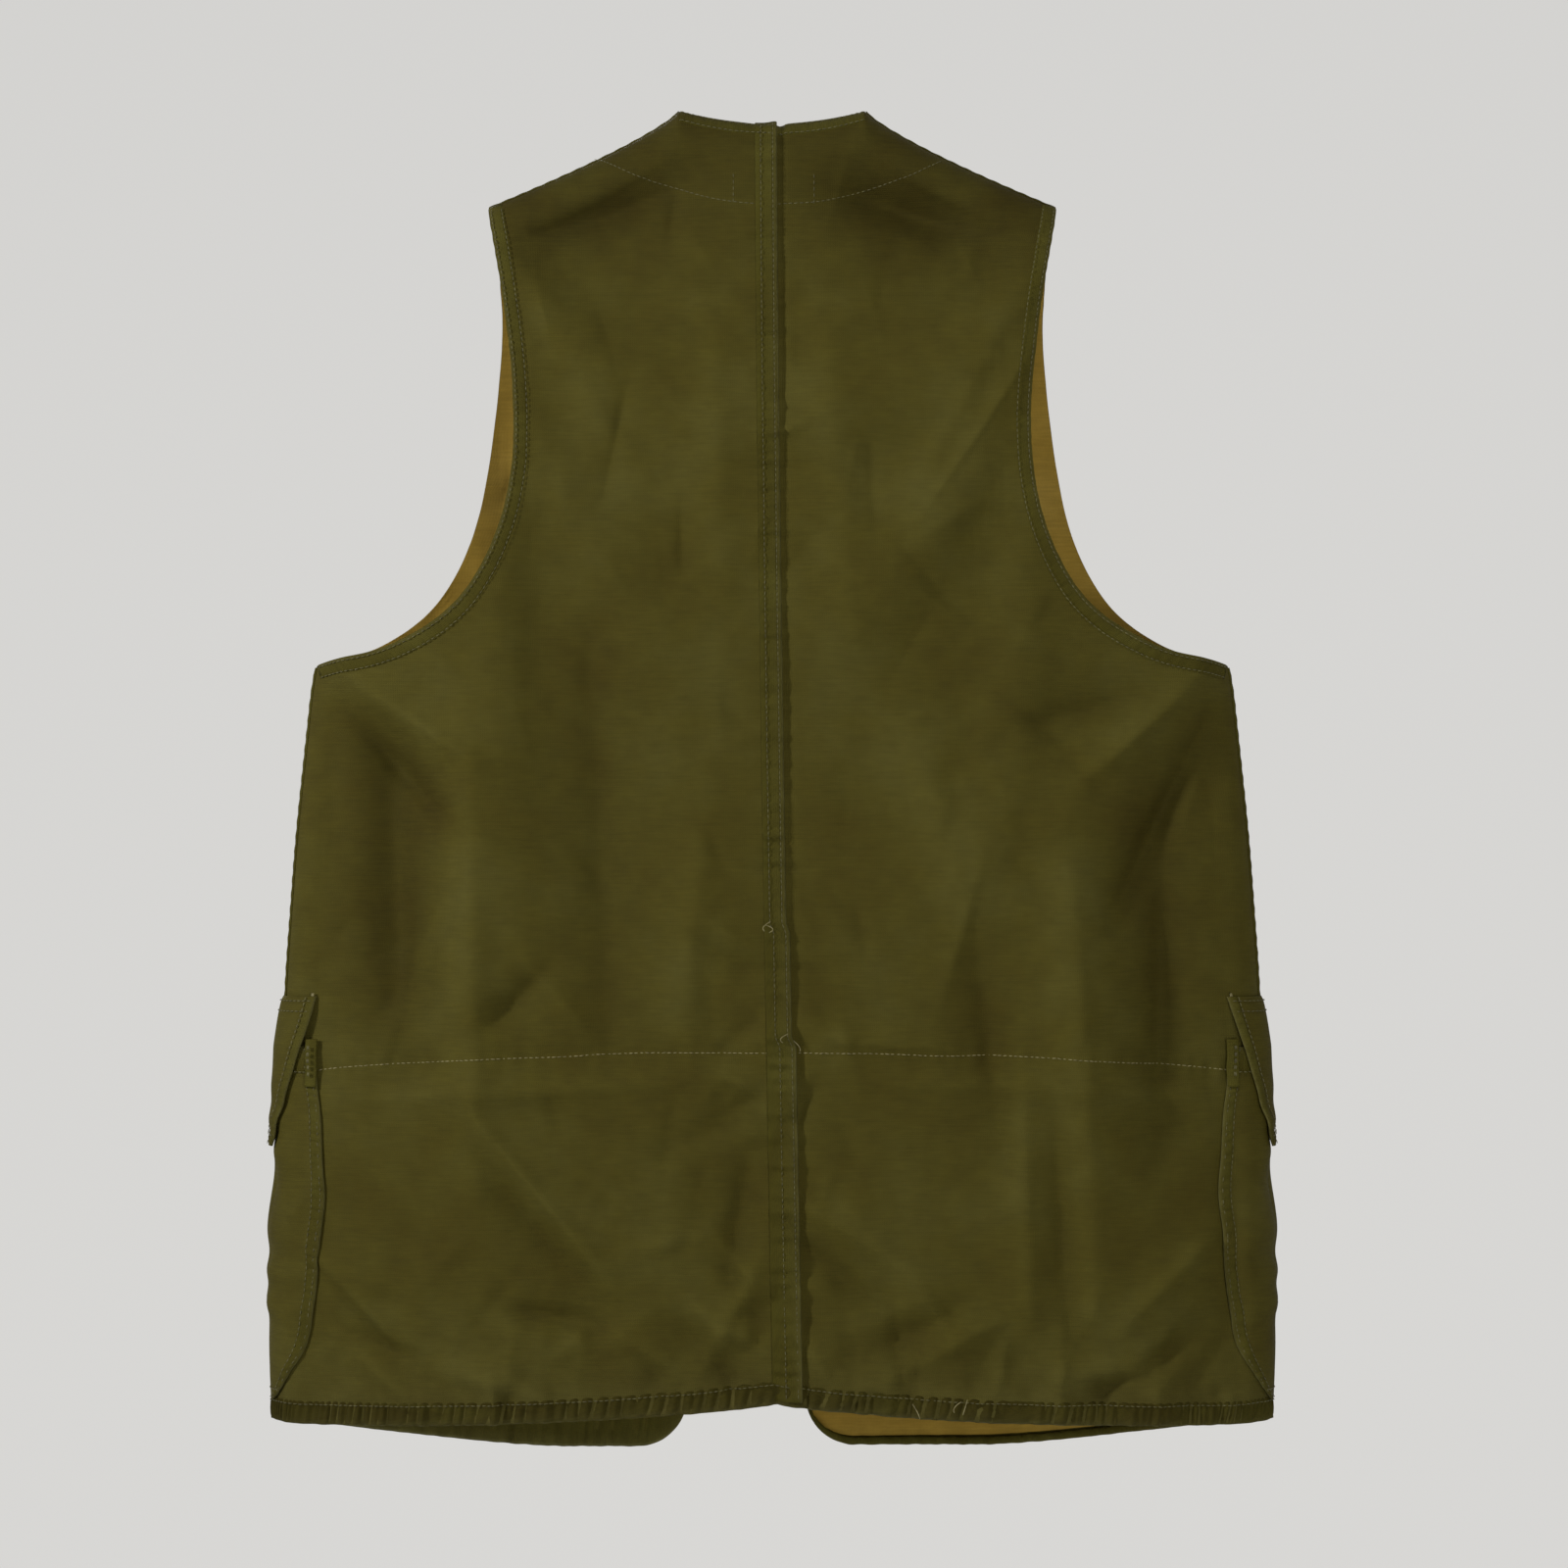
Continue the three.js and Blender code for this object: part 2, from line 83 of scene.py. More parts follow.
camera_data = bpy.data.cameras.new("camera")
camera_data.sensor_width = SENSOR_WIDTH
camera_data.lens = SENSOR_WIDTH * CAMERA_AWAY / FRAME_WIDTH
camera = new_object("camera", camera_data)
camera.location = MIDDLE + Vector((0, CAMERA_AWAY, 0))
camera.rotation_euler = (math.radians(90), 0, math.radians(180))
scene.camera = camera


def add_lamp(name, place, size, power, target=(0, 0, -0.4)):
    data = bpy.data.lights.new(name, "AREA")
    data.shape = "DISK"
    data.size = size
    data.energy = power
    lamp = new_object(name, data)
    lamp.location = place
    lamp.rotation_euler = (Vector(target) - Vector(place)).to_track_quat("-Z", "Y").to_euler()


add_lamp("side_lamp", (1.45, 0.85, 0.05), 0.22, 22)
add_lamp("top_lamp", (-0.30, 0.95, 0.80), 0.25, 7)
add_lamp("low_lamp", (-0.6, 1.5, -0.8), 0.5, 9)
add_lamp("front_lamp", (0.5, -1.7, 0.3), 0.6, 26)


def pale_room():
    """A world that is bright behind the vest and dimmer on the camera's side."""
    world = bpy.data.worlds.new("pale_room")
    scene.world = world
    world.use_nodes = True
    tree = world.node_tree
    towards = tree.nodes.new("ShaderNodeTexCoord").outputs["Generated"]
    parts = tree.nodes.new("ShaderNodeSeparateXYZ")
    tree.links.new(towards, parts.inputs[0])
    for axis, low, high in (("Y", 0.68, 0.10), ("Z", 1.12, 0.88)):
        span = tree.nodes.new("ShaderNodeMapRange")
        span.name = axis
        span.inputs["From Min"].default_value = -1.0
        span.inputs["To Min"].default_value = low
        span.inputs["To Max"].default_value = high
        tree.links.new(parts.outputs[axis], span.inputs["Value"])
    glow = tree.nodes.new("ShaderNodeMath")
    glow.operation = "MULTIPLY"
    for socket, axis in enumerate("YZ"):
        tree.links.new(tree.nodes[axis].outputs[0], glow.inputs[socket])
    tree.nodes["Background"].inputs["Color"].default_value = (1.0, 0.99, 0.965, 1)
    tree.links.new(glow.outputs[0], tree.nodes["Background"].inputs["Strength"])


pale_room()
scene.view_settings.view_transform = "Standard"

FLOOR_HEIGHT, FLOOR_RADIUS = -1.35, 1.5
floor_mesh = bpy.data.meshes.new("floor")
bm = bmesh.new()
bmesh.ops.create_circle(bm, cap_ends=True, segments=64, radius=FLOOR_RADIUS)
bmesh.ops.translate(bm, verts=bm.verts, vec=(0, 0, FLOOR_HEIGHT))
bm.to_mesh(floor_mesh)
bm.free()
floor = new_object("floor", floor_mesh)
print("camera", tuple(round(c, 3) for c in camera.location), "lens", round(camera_data.lens, 1))

# %% [markdown]
# ## Colours and nodes
# Paint charts and cameras give colours as sRGB hex values, and a shader wants linear light, so
# one function turns one into the other. Another adds a node with its settings and links, which
# keeps each material down to a few readable lines. An input called _0 is a node's first, and the
# others go by their names.

# %% Helpers for materials
def linear(hex_colour):
    out = []
    for i in (0, 2, 4):
        c = int(hex_colour[i:i + 2], 16) / 255
        out.append(c / 12.92 if c <= 0.04045 else ((c + 0.055) / 1.055) ** 2.4)
    return (*out, 1.0)


def set_inputs(node, **inputs):
    """Links or sets a node's inputs."""
    for key, value in inputs.items():
        socket = node.inputs[int(key[1:]) if key[1:].isdigit() else key.replace("_", " ")]
        if isinstance(value, bpy.types.NodeSocket):
            node.id_data.links.new(value, socket)
        else:
            socket.default_value = value


def add_node(tree, kind, settings=None, **inputs):
    node = tree.nodes.new(kind)
    for key, value in (settings or {}).items():
        setattr(node, key, value)
    set_inputs(node, **inputs)
    return node


def with_stops(node, *stops):
    """Sets a colour ramp's stops, each a place and a hex colour."""
    elements = node.color_ramp.elements
    stops = [(place, linear(hex_colour)) for place, hex_colour in stops]
    elements[0].position, elements[0].color = stops[0]
    elements[1].position, elements[1].color = stops[-1]
    for position, colour in stops[1:-1]:
        elements.new(position).color = colour
    return node.outputs["Color"]


def start_material(name):
    material = bpy.data.materials.new(name)
    material.use_nodes = True
    tree = material.node_tree
    return material, tree, tree.nodes["Principled BSDF"]


# %% [markdown]
# ## Cotton duck, drill and twill
# Duck is a plain weave of thick cotton yarns, dyed and then washed and sunned for years. The
# eye sees three things: fine crossing yarns with slubs that run along the weft, patches where the
# dye has faded, and pale wear along edges. Each is a texture at its real scale. The yarns here
# are about 1.1 mm apart, twice as coarse as real duck, so that they still show at this size.
# The colour also carries painted shade in the fold hollows and on the shoulders, and painted light on ridges.

# %% Woven cloth
YARN = 0.0011
WAVE_TURN = 2 * math.pi / 20      # a wave texture's scale for one band per metre


def woven(name, dark, body, faded_and_lit, worn, yarn=YARN, relief=0.35, rough=0.8, sheen=0.015):
    material, tree, shader = start_material(name)
    cloth = add_node(tree, "ShaderNodeUVMap", {"uv_map": "cloth"}).outputs["UV"]
    wave = {"wave_type": "BANDS", "wave_profile": "SIN"}
    multiply_add = {"operation": "MULTIPLY_ADD"}
    warp = add_node(tree, "ShaderNodeTexWave", {**wave, "bands_direction": "X"},
                    Vector=cloth, Scale=WAVE_TURN / yarn, Distortion=1.2, Detail=1.0)
    weft = add_node(tree, "ShaderNodeTexWave", {**wave, "bands_direction": "Y"},
                    Vector=cloth, Scale=WAVE_TURN / yarn, Distortion=1.6, Detail=1.0)
    yarns = add_node(tree, "ShaderNodeMath", {"operation": "MAXIMUM"},
                     _0=warp.outputs["Fac"], _1=weft.outputs["Fac"]).outputs[0]
    along_weft = add_node(tree, "ShaderNodeMapping", Vector=cloth, Scale=(60, 700, 1)).outputs[0]
    slub = add_node(tree, "ShaderNodeTexNoise", Vector=along_weft, Scale=1.0, Detail=3.0).outputs["Fac"]
    patches = add_node(tree, "ShaderNodeTexNoise", Vector=cloth, Scale=11.0, Detail=7.0,
                       Roughness=0.65).outputs["Fac"]
    mottle = add_node(tree, "ShaderNodeTexNoise", Vector=cloth, Scale=70.0, Detail=4.0).outputs["Fac"]
    # The crease attribute is painted shade in fold hollows and on the shoulders and painted light on ridges.
    # It moves the colour ramp between the dark and faded stops and scales the brightness, so these stops also
    # serve as painted shade and painted light.
    creased = add_node(tree, "ShaderNodeAttribute", {"attribute_name": "crease"}).outputs["Fac"]
    patches_and_shade = add_node(tree, "ShaderNodeMath", multiply_add, _0=creased, _1=0.9, _2=patches).outputs[0]
    base = with_stops(add_node(tree, "ShaderNodeValToRGB", Fac=patches_and_shade),
                      (0.22, dark), (0.5, body), (0.76, faded_and_lit))
    shade = 0.52
    for tone, share in ((slub, 0.45), (yarns, 0.16), (mottle, 0.35)):
        shade = add_node(tree, "ShaderNodeMath", multiply_add, _0=tone, _1=share, _2=shade).outputs[0]
    shade = add_node(tree, "ShaderNodeMath", {"operation": "ADD"}, _0=creased, _1=shade).outputs[0]
    lit = add_node(tree, "ShaderNodeVectorMath", {"operation": "SCALE"}, _0=base, Scale=shade)
    wear = add_node(tree, "ShaderNodeAttribute", {"attribute_name": "wear"}).outputs["Fac"]
    scuffs = add_node(tree, "ShaderNodeMath", {"operation": "MULTIPLY"}, _0=wear, _1=mottle).outputs[0]
    rubbed = add_node(tree, "ShaderNodeMix", {"data_type": "RGBA"}, _0=scuffs, _6=lit.outputs[0],
                      _7=linear(worn))
    height = add_node(tree, "ShaderNodeMath", multiply_add, _0=slub, _1=0.8, _2=yarns).outputs[0]
    bump = add_node(tree, "ShaderNodeBump", Height=height, Strength=relief, Distance=0.0006)
    roughness = add_node(tree, "ShaderNodeMapRange", Value=mottle, To_Min=rough - 0.06, To_Max=rough + 0.05)
    set_inputs(shader, Base_Color=rubbed.outputs[2], Normal=bump.outputs[0], Roughness=roughness.outputs[0],
               Sheen_Weight=sheen, Sheen_Roughness=0.6, Sheen_Tint=linear(faded_and_lit), Specular_IOR_Level=0.08)
    return material


olive_duck = woven("olive_cotton_duck", "39310b", "413b12", "48431b", "625d38")
olive_seam = woven("olive_duck_seam", "362f09", "3e390f", "464217", "6a653f", relief=0.45)
tan_drill = woven("tan_cotton_drill", "735a1e", "836a29", "917836", "9c8450", yarn=0.0009, relief=0.25)
label_satin = woven("woven_label", "6b6140", "7a704e", "8a805c", "8a805c", yarn=0.0005, relief=0.15)
print("woven cloths", [m.name for m in (olive_duck, olive_seam, tan_drill, label_satin)])

# %% [markdown]
# ## Thread, buttons and press studs
# Sewing thread is a tight twist, so it catches small glints. The buttons are moulded plastic in
# a dark horn colour, clouded by the pour. The press studs are brass that has dulled in the open:
# brown in the hollows and brighter where a thumb rubs it.

# %% Thread, moulded horn and aged brass
PLY = 0.0006      # from one turn of the thread's twist to the next


def sewing_thread(name, dark, light):
    material, tree, shader = start_material(name)
    place = add_node(tree, "ShaderNodeTexCoord").outputs["Object"]
    tone = add_node(tree, "ShaderNodeTexNoise", Vector=place, Scale=260.0, Detail=2.0).outputs["Fac"]
    colour = with_stops(add_node(tree, "ShaderNodeValToRGB", Fac=tone), (0.35, dark), (0.65, light))
    ply = add_node(tree, "ShaderNodeTexWave", {"bands_direction": "DIAGONAL"}, Vector=place,
                   Scale=WAVE_TURN / PLY)
    bump = add_node(tree, "ShaderNodeBump", Height=ply.outputs["Fac"], Strength=0.3, Distance=0.0001)
    set_inputs(shader, Base_Color=colour, Normal=bump.outputs[0], Roughness=0.6)
    return material


def moulded_horn():
    material, tree, shader = start_material("moulded_horn_plastic")
    place = add_node(tree, "ShaderNodeTexCoord").outputs["Object"]
    clouds = add_node(tree, "ShaderNodeTexNoise", Vector=place, Scale=160.0, Detail=6.0, Distortion=1.5)
    colour = with_stops(add_node(tree, "ShaderNodeValToRGB", Fac=clouds.outputs["Fac"]),
                        (0.3, "1d120b"), (0.55, "3b2617"), (0.75, "5c4028"))
    scratches = add_node(tree, "ShaderNodeTexNoise", Vector=place, Scale=900.0, Detail=3.0)
    rough = add_node(tree, "ShaderNodeMapRange", Value=scratches.outputs["Fac"], To_Min=0.28, To_Max=0.5)
    bump = add_node(tree, "ShaderNodeBump", Height=scratches.outputs["Fac"], Strength=0.08, Distance=0.0002)
    set_inputs(shader, Base_Color=colour, Roughness=rough.outputs[0], Normal=bump.outputs[0])
    return material


def aged_brass():
    material, tree, shader = start_material("aged_brass")
    place = add_node(tree, "ShaderNodeTexCoord").outputs["Object"]
    tarnish = add_node(tree, "ShaderNodeTexNoise", Vector=place, Scale=420.0, Detail=5.0)
    colour = with_stops(add_node(tree, "ShaderNodeValToRGB", Fac=tarnish.outputs["Fac"]),
                        (0.35, "33251a"), (0.55, "5f4a2a"), (0.75, "87703f"))
    rough = add_node(tree, "ShaderNodeMapRange", Value=tarnish.outputs["Fac"], To_Min=0.62, To_Max=0.4)
    bump = add_node(tree, "ShaderNodeBump", Height=tarnish.outputs["Fac"], Strength=0.1, Distance=0.0002)
    set_inputs(shader, Base_Color=colour, Roughness=rough.outputs[0], Normal=bump.outputs[0], Metallic=1.0)
    return material


olive_thread = sewing_thread("olive_thread", "403b18", "565129")
tan_thread = sewing_thread("tan_thread", "655d38", "867d54")
horn = moulded_horn()
brass = aged_brass()


def pale_floor():
    material, tree, shader = start_material("pale_floor")
    place = add_node(tree, "ShaderNodeTexCoord").outputs["Object"]
    tone = add_node(tree, "ShaderNodeTexNoise", Vector=place, Scale=3.0).outputs["Fac"]
    colour = with_stops(add_node(tree, "ShaderNodeValToRGB", Fac=tone), (0.3, "c3c5c8"), (0.7, "cfd1d3"))
    set_inputs(shader, Base_Color=colour, Roughness=0.9)
    return material


floor.data.materials.append(pale_floor())
print("finishes", len(bpy.data.materials))

# %% [markdown]
# ## The hanging shape
# All the cloth lies on one tube, a rounded box in plan that closes over the hanger at the
# shoulders. A place on it is x, the distance from the middle, z, the height, and face, +1 behind
# and -1 in front. The sizes are those of the measured model, so the cloth goes where it says.

# %% The tube
BACK, FRONT = 1, -1
SIDES = {"left": 1, "right": -1}
NECK_HALF = 0.0574
SHOULDER_HALF = 0.175
SHOULDER_DROP = 0.060
NECK_DIP = 0.009
NECK_LIFT = 0.003
UNDERARM = (0.282, -0.342)
HEM_SIDE = -0.806
HEM_BACK_MIDDLE = -0.790
HEM_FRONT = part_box("front_panel_left")[0].z
TOP_DEPTH = 0.028
DEPTH_GROWTH = 0.03
RIDGE_ROUND = 0.028
TUBE_HEIGHTS = (-0.95, HEM_SIDE, -0.700, -0.540, -0.445, UNDERARM[1], 0.0, 0.1)
TUBE_HALVES = (0.3105, 0.308, 0.304, 0.300, 0.293, UNDERARM[0], 0.184, 0.156)


def mix(a, b, t):
    return a + (b - a) * t


def clamp01(t):
    return np.clip(t, 0.0, 1.0)


def fade(v, reach):
    return (1 - clamp01(v / reach)) ** 2


def towards_side(u):
    return 1.5 * u - 0.5 * u ** 3


def tube_half(z):
    steps = np.linspace(-0.02, 0.02, 5)
    return sum(np.interp(z + s, TUBE_HEIGHTS, TUBE_HALVES) for s in steps) / len(steps)


def half_depth(z):
    return TOP_DEPTH - DEPTH_GROWTH * z


def shoulder_height(x):
    out = clamp01((np.abs(x) - NECK_HALF) / (SHOULDER_HALF - NECK_HALF))
    return -SHOULDER_DROP * out ** 0.8


def back_neck_height(x):
    return -NECK_DIP * (1 - clamp01(np.abs(x) / NECK_HALF) ** 2)


def ridge_height(x, face):
    lift = NECK_LIFT * (1 - clamp01(np.abs(x) / NECK_HALF) ** 2)
    return shoulder_height(x) + np.where(face > 0, back_neck_height(x) + lift, 0.0)


def tube(x, z, face):
    """Points of the tube and the directions that face out of it."""
    half = tube_half(z)
    out = np.minimum(1, np.abs(x) / half)
    below = clamp01((ridge_height(x, face) - z) / RIDGE_ROUND)
    over = 1 - (1 - below) ** 2
    depth = half_depth(z) * np.sqrt((1 - out ** 4) * over)
    points = np.stack([x, face * depth, z], axis=1)
    slope = (ridge_height(x + 1e-4, face) - ridge_height(x - 1e-4, face)) / 2e-4
    up = 2 * (1 - below) * (1 - out ** 4) / RIDGE_ROUND
    normal = np.stack([
        4 * over * out ** 3 / half * np.sign(x) - up * slope,
        face * 2 * depth / half_depth(z) ** 2,
        up,
    ], axis=1)
    return points, normal / np.linalg.norm(normal, axis=1, keepdims=True)


# %% [markdown]
# ## Outlines of the panels
# A panel's outline needs few points: the armhole is a smooth line through seven, and the side
# seam follows the tube. Each panel is a unit square bent to its outline, with finer rows at the
# shoulder, where the cloth turns over the hanger.

# %% Outlines
ARMHOLE_SHARE = 0.429


def smooth_line(points):
    """A smooth line through a few points, read by its length from 0 to 1."""
    p = np.array([2 * np.array(points[0]) - points[1], *points, 2 * np.array(points[-1]) - points[-2]])
    t = np.linspace(0, 1, 24, endpoint=False)[:, None]
    spans = [
        0.5 * (2 * b + (c - a) * t + (2 * a - 5 * b + 4 * c - d) * t ** 2
               + (3 * b - a - 3 * c + d) * t ** 3)
        for a, b, c, d in zip(p, p[1:], p[2:], p[3:])
    ]
    dense = np.vstack([*spans, p[-2][None]])
    length = np.concatenate([[0], np.cumsum(np.linalg.norm(np.diff(dense, axis=0), axis=1))])
    return lambda v: [np.interp(v, length / length[-1], dense[:, k]) for k in (0, 1)]


SHOULDER_POINT = (SHOULDER_HALF, -SHOULDER_DROP)
BACK_ARMHOLE = [SHOULDER_POINT, (0.163, -0.130), (0.158, -0.200), (0.166, -0.255), (0.190, -0.301),
                (0.231, -0.329), UNDERARM]
FRONT_ARMHOLE = [SHOULDER_POINT, (0.168, -0.125), (0.175, -0.200), (0.187, -0.260), (0.209, -0.303),
                 (0.242, -0.329), UNDERARM]
ARMHOLES = {BACK: smooth_line(BACK_ARMHOLE), FRONT: smooth_line(FRONT_ARMHOLE)}


def outer_edge(down, face):
    arm_x, arm_z = ARMHOLES[face](clamp01(down / ARMHOLE_SHARE))
    side_z = mix(UNDERARM[1], HEM_SIDE, clamp01((down - ARMHOLE_SHARE) / (1 - ARMHOLE_SHARE)))
    in_arm = down < ARMHOLE_SHARE
    z = np.where(in_arm, arm_z, side_z)
    return np.where(in_arm, np.minimum(arm_x, tube_half(arm_z)), tube_half(side_z)), z


def back_hem(x):
    return mix(HEM_SIDE, HEM_BACK_MIDDLE, np.exp(-np.abs(x) / 0.110))


FOLD_NECK, FOLD_HEM = NECK_HALF, 0.130
V_POINT = -0.235
FREE_EDGES = {"left": (0.008, 0.053), "right": (0.004, 0.020)}
CORNER_RADIUS = 0.032


def fold_x(z):
    return mix(FOLD_NECK, FOLD_HEM, z / HEM_FRONT)


def free_edge_x(z, side):
    at_v, at_hem = FREE_EDGES[side]
    in_v = mix(at_v, NECK_HALF, clamp01(1 - z / V_POINT) ** 1.15)
    below = mix(at_v, at_hem, clamp01((z - V_POINT) / (HEM_FRONT - V_POINT)) ** 1.4)
    return np.where(z > V_POINT, in_v, below)


def front_hem(x, side):
    out = clamp01((np.abs(x) - FOLD_HEM) / (tube_half(HEM_SIDE) - FOLD_HEM))
    in_corner = np.clip(CORNER_RADIUS - (np.abs(x) - FREE_EDGES[side][1]), 0, CORNER_RADIUS)
    rise = CORNER_RADIUS - np.sqrt(CORNER_RADIUS ** 2 - in_corner ** 2)
    return mix(HEM_FRONT, HEM_SIDE, out ** 1.5) + rise


def seam_x(z):
    """The centre back seam drifts a little to the wearer's right on its way down."""
    return mix(0.003, -0.008, clamp01(z / HEM_BACK_MIDDLE) ** 1.4)


SEAM_EDGE_OUT = 0.0058
MENDS = ((0.499, 0.0022), (0.568, 0.0026))      # how far down each is, and how far the edge steps
MEND_LONG = 0.006


def seam_edge(z):
    """The seam's free edge, on the wearer's right. It steps sideways at two mends."""
    step = sum(size * clamp01((-z - down) / MEND_LONG) for down, size in MENDS)
    return seam_x(z) - SEAM_EDGE_OUT - step


def back_half(side, u, down):
    """x and z of the back half: u from the centre seam to the side."""
    across = towards_side(u)
    edge_x, edge_z = outer_edge(down, BACK)
    middle_z = mix(-NECK_DIP, HEM_BACK_MIDDLE, down)
    straight = mix(middle_z, edge_z, across)
    top_x = mix(seam_x(-NECK_DIP), SIDES[side] * SHOULDER_HALF, across)
    top = back_neck_height(top_x) + shoulder_height(top_x)
    top_bend = top - mix(-NECK_DIP, -SHOULDER_DROP, across)
    hem_bend = back_hem(tube_half(HEM_SIDE) * across) - mix(HEM_BACK_MIDDLE, HEM_SIDE, across)
    z = straight + top_bend * fade(down, 0.2) + hem_bend * fade(1 - down, 0.2)
    return mix(seam_x(middle_z), SIDES[side] * edge_x, across), z


def front_half(side, u, down):
    """x and z of a front: u from the free edge to the side."""
    across = towards_side(u)
    edge_x, edge_z = outer_edge(down, FRONT)
    free_z = mix(0, HEM_FRONT, down)
    top_bend = shoulder_height(mix(NECK_HALF, SHOULDER_HALF, across)) + SHOULDER_DROP * across
    hem_x = mix(FREE_EDGES[side][1], tube_half(HEM_SIDE), across)
    hem_bend = front_hem(hem_x, side) - mix(HEM_FRONT, HEM_SIDE, across)
    z = mix(free_z, edge_z, across) + top_bend * fade(down, 0.2) + hem_bend * fade(1 - down, 0.12)
    x = mix(free_edge_x(free_z, side), edge_x, across)
    return SIDES[side] * x, z


def towards_hem(v):
    return v ** 1.35


print("underarm at", UNDERARM, "front hem at", round(HEM_FRONT, 3))

# %% [markdown]
# ## Bending a grid into cloth
# Every sheet starts as a plain flat grid. Its corners are read as a unit square, and each
# point is sent to its place. A sheet's UV map is its distance round the vest and its height, in
# metres, so the yarns hang straight. A band's is measured round and along the band itself.

# %% Bent grids
def bent_grid(name, across, down, place, close=False, wear=None, crease=None):
    bm = bmesh.new()
    bmesh.ops.create_grid(bm, x_segments=across, y_segments=down, size=0.5)
    u = np.array([v.co.x for v in bm.verts]) + 0.5
    v = 0.5 - np.array([v.co.y for v in bm.verts])
    points, normals = place(u, v)
    order = np.lexsort((np.round(u, 5), np.round(v, 5)))
    shape = (down + 1, across + 1)
    lattice = points[order].reshape(*shape, 3)
    kept = 3 if close else 2
    along = np.zeros(shape)
    along[:, 1:] = np.cumsum(np.linalg.norm(np.diff(lattice, axis=1)[..., :kept], axis=2), axis=1)
    drop = -lattice[..., 2]
    if close:
        drop = np.zeros(shape)
        drop[1:] = np.cumsum(np.linalg.norm(np.diff(lattice, axis=0), axis=2), axis=0)
    flat = np.zeros((len(u), 2))
    flat[order] = np.stack([along.ravel(), -drop.ravel()], axis=1)
    if not close:
        flat[:, 0] += lattice[0, 0, 0]
    layer = bm.loops.layers.uv.new("cloth")
    wear_layer = bm.verts.layers.float.new("wear")
    crease_layer = bm.verts.layers.float.new("crease")
    amount = np.zeros(len(u)) if wear is None else wear(u, v)
    # The crease attribute: painted shade and light for the folded sheets, an even darker tone for the back
    # hem band.
    shade_and_tone = np.zeros(len(u)) if crease is None else crease(u, v)
    for i, vert in enumerate(bm.verts):
        vert.co = points[i]
        vert[wear_layer] = float(amount[i])
        vert[crease_layer] = float(shade_and_tone[i])
    bm.verts.index_update()
    for face in bm.faces:
        for loop in face.loops:
            loop[layer].uv = flat[loop.vert.index]
    bm.normal_update()
    facing = sum(f.normal.dot(Vector(normals[f.verts[0].index])) for f in bm.faces)
    if facing < 0:
        bmesh.ops.reverse_faces(bm, faces=bm.faces)
    if close:
        bmesh.ops.remove_doubles(bm, verts=bm.verts, dist=1e-6)
        bmesh.ops.holes_fill(bm, edges=bm.edges)
        bmesh.ops.recalc_face_normals(bm, faces=bm.faces)
    for face in bm.faces:
        face.smooth = True
    mesh = bpy.data.meshes.new(name)
    bm.to_mesh(mesh)
    bm.free()
    return new_object(name, mesh)


# %% [markdown]
# ## Letting the cloth hang
# Real cloth is never as smooth as a drawn surface. The back and the two fronts are given to the
# cloth solver with a little too much cloth for their outline, held at the shoulders, armholes
# and side seams, and left to hang for a second. The slack settles into soft buckles.
# How far each point moved is kept as a field over the vest, and every layer, seam and stitch
# reads the same field, so nothing comes apart.

# %% The hanging simulation
CELL = 0.006
FIELD_LOW = np.array([-0.33, -0.86])
FIELD_SHAPE = (112, 150)
HANG_FRAMES = 24
HANG_SLACK = 0.013
HANG_SEED = 7
MOST_MOVE = 0.012


def hang_sheet(name, region):
    def place(u, v):
        return tube(*region(u, v))
    piece = bent_grid(name, 56, 76, place)
    group = piece.vertex_groups.new(name="held")
    rng = np.random.default_rng(HANG_SEED)
    mesh = piece.data
    start = np.array([v.co for v in mesh.vertices])
    faces_at = {}
    for poly in mesh.polygons:
        for key in poly.edge_keys:
            faces_at[key] = faces_at.get(key, 0) + 1
    rim = {i for key, n in faces_at.items() if n == 1 for i in key}
    for i in rim:
        x, _, z = start[i]
        if z > -0.76 and (abs(x) > 0.10 or z > -0.03):
            group.add([i], 1.0, "REPLACE")
    jitter = rng.normal(0, 0.0006, len(start))
    for i, vert in enumerate(mesh.vertices):
        if i not in rim:
            vert.co.y += jitter[i]
    cloth = piece.modifiers.new("hang", "CLOTH")
    settings = cloth.settings
    settings.quality = 6
    settings.mass = 0.35
    settings.tension_stiffness = 25
    settings.compression_stiffness = 25
    settings.shear_stiffness = 10
    settings.bending_stiffness = 2.5
    settings.air_damping = 3
    settings.shrink_min = -HANG_SLACK
    settings.vertex_group_mass = "held"
    cloth.point_cache.frame_start = 1
    cloth.point_cache.frame_end = HANG_FRAMES
    return piece, start


def soften(raster, times):
    for _ in range(times):
        padded = np.pad(raster, [(1, 1), (1, 1)] + [(0, 0)] * (raster.ndim - 2), mode="edge")
        raster = sum(padded[1 + i:padded.shape[0] - 1 + i, 1 + j:padded.shape[1] - 1 + j]
                     * (2 - abs(i)) * (2 - abs(j)) for i in (-1, 0, 1) for j in (-1, 0, 1)) / 16
    return raster


def field_of(moves):
    """Averages scattered moves into a raster over x and z, less the slow sag of the whole."""
    total = np.zeros((*FIELD_SHAPE, 3))
    count = np.zeros(FIELD_SHAPE)
    for start, move in moves:
        cell = np.clip(((start[:, [0, 2]] - FIELD_LOW) / CELL).astype(int), 0, np.array(FIELD_SHAPE) - 1)
        np.add.at(total, (cell[:, 0], cell[:, 1]), move)
        np.add.at(count, (cell[:, 0], cell[:, 1]), 1)
    near = soften(total, 3) / np.maximum(soften(count, 3), 1e-6)[..., None]
    broad = soften(total, 90) / np.maximum(soften(count, 90), 1e-6)[..., None]
    return near - broad


def back_half_whole(u, down):
    """The whole back: u from the wearer's right side, through the centre seam, to the left side."""
    left_x, left_z = back_half("left", clamp01(2 * u - 1), down)
    right_x, right_z = back_half("right", clamp01(1 - 2 * u), down)
    return np.where(u > 0.5, left_x, right_x), np.where(u > 0.5, left_z, right_z)


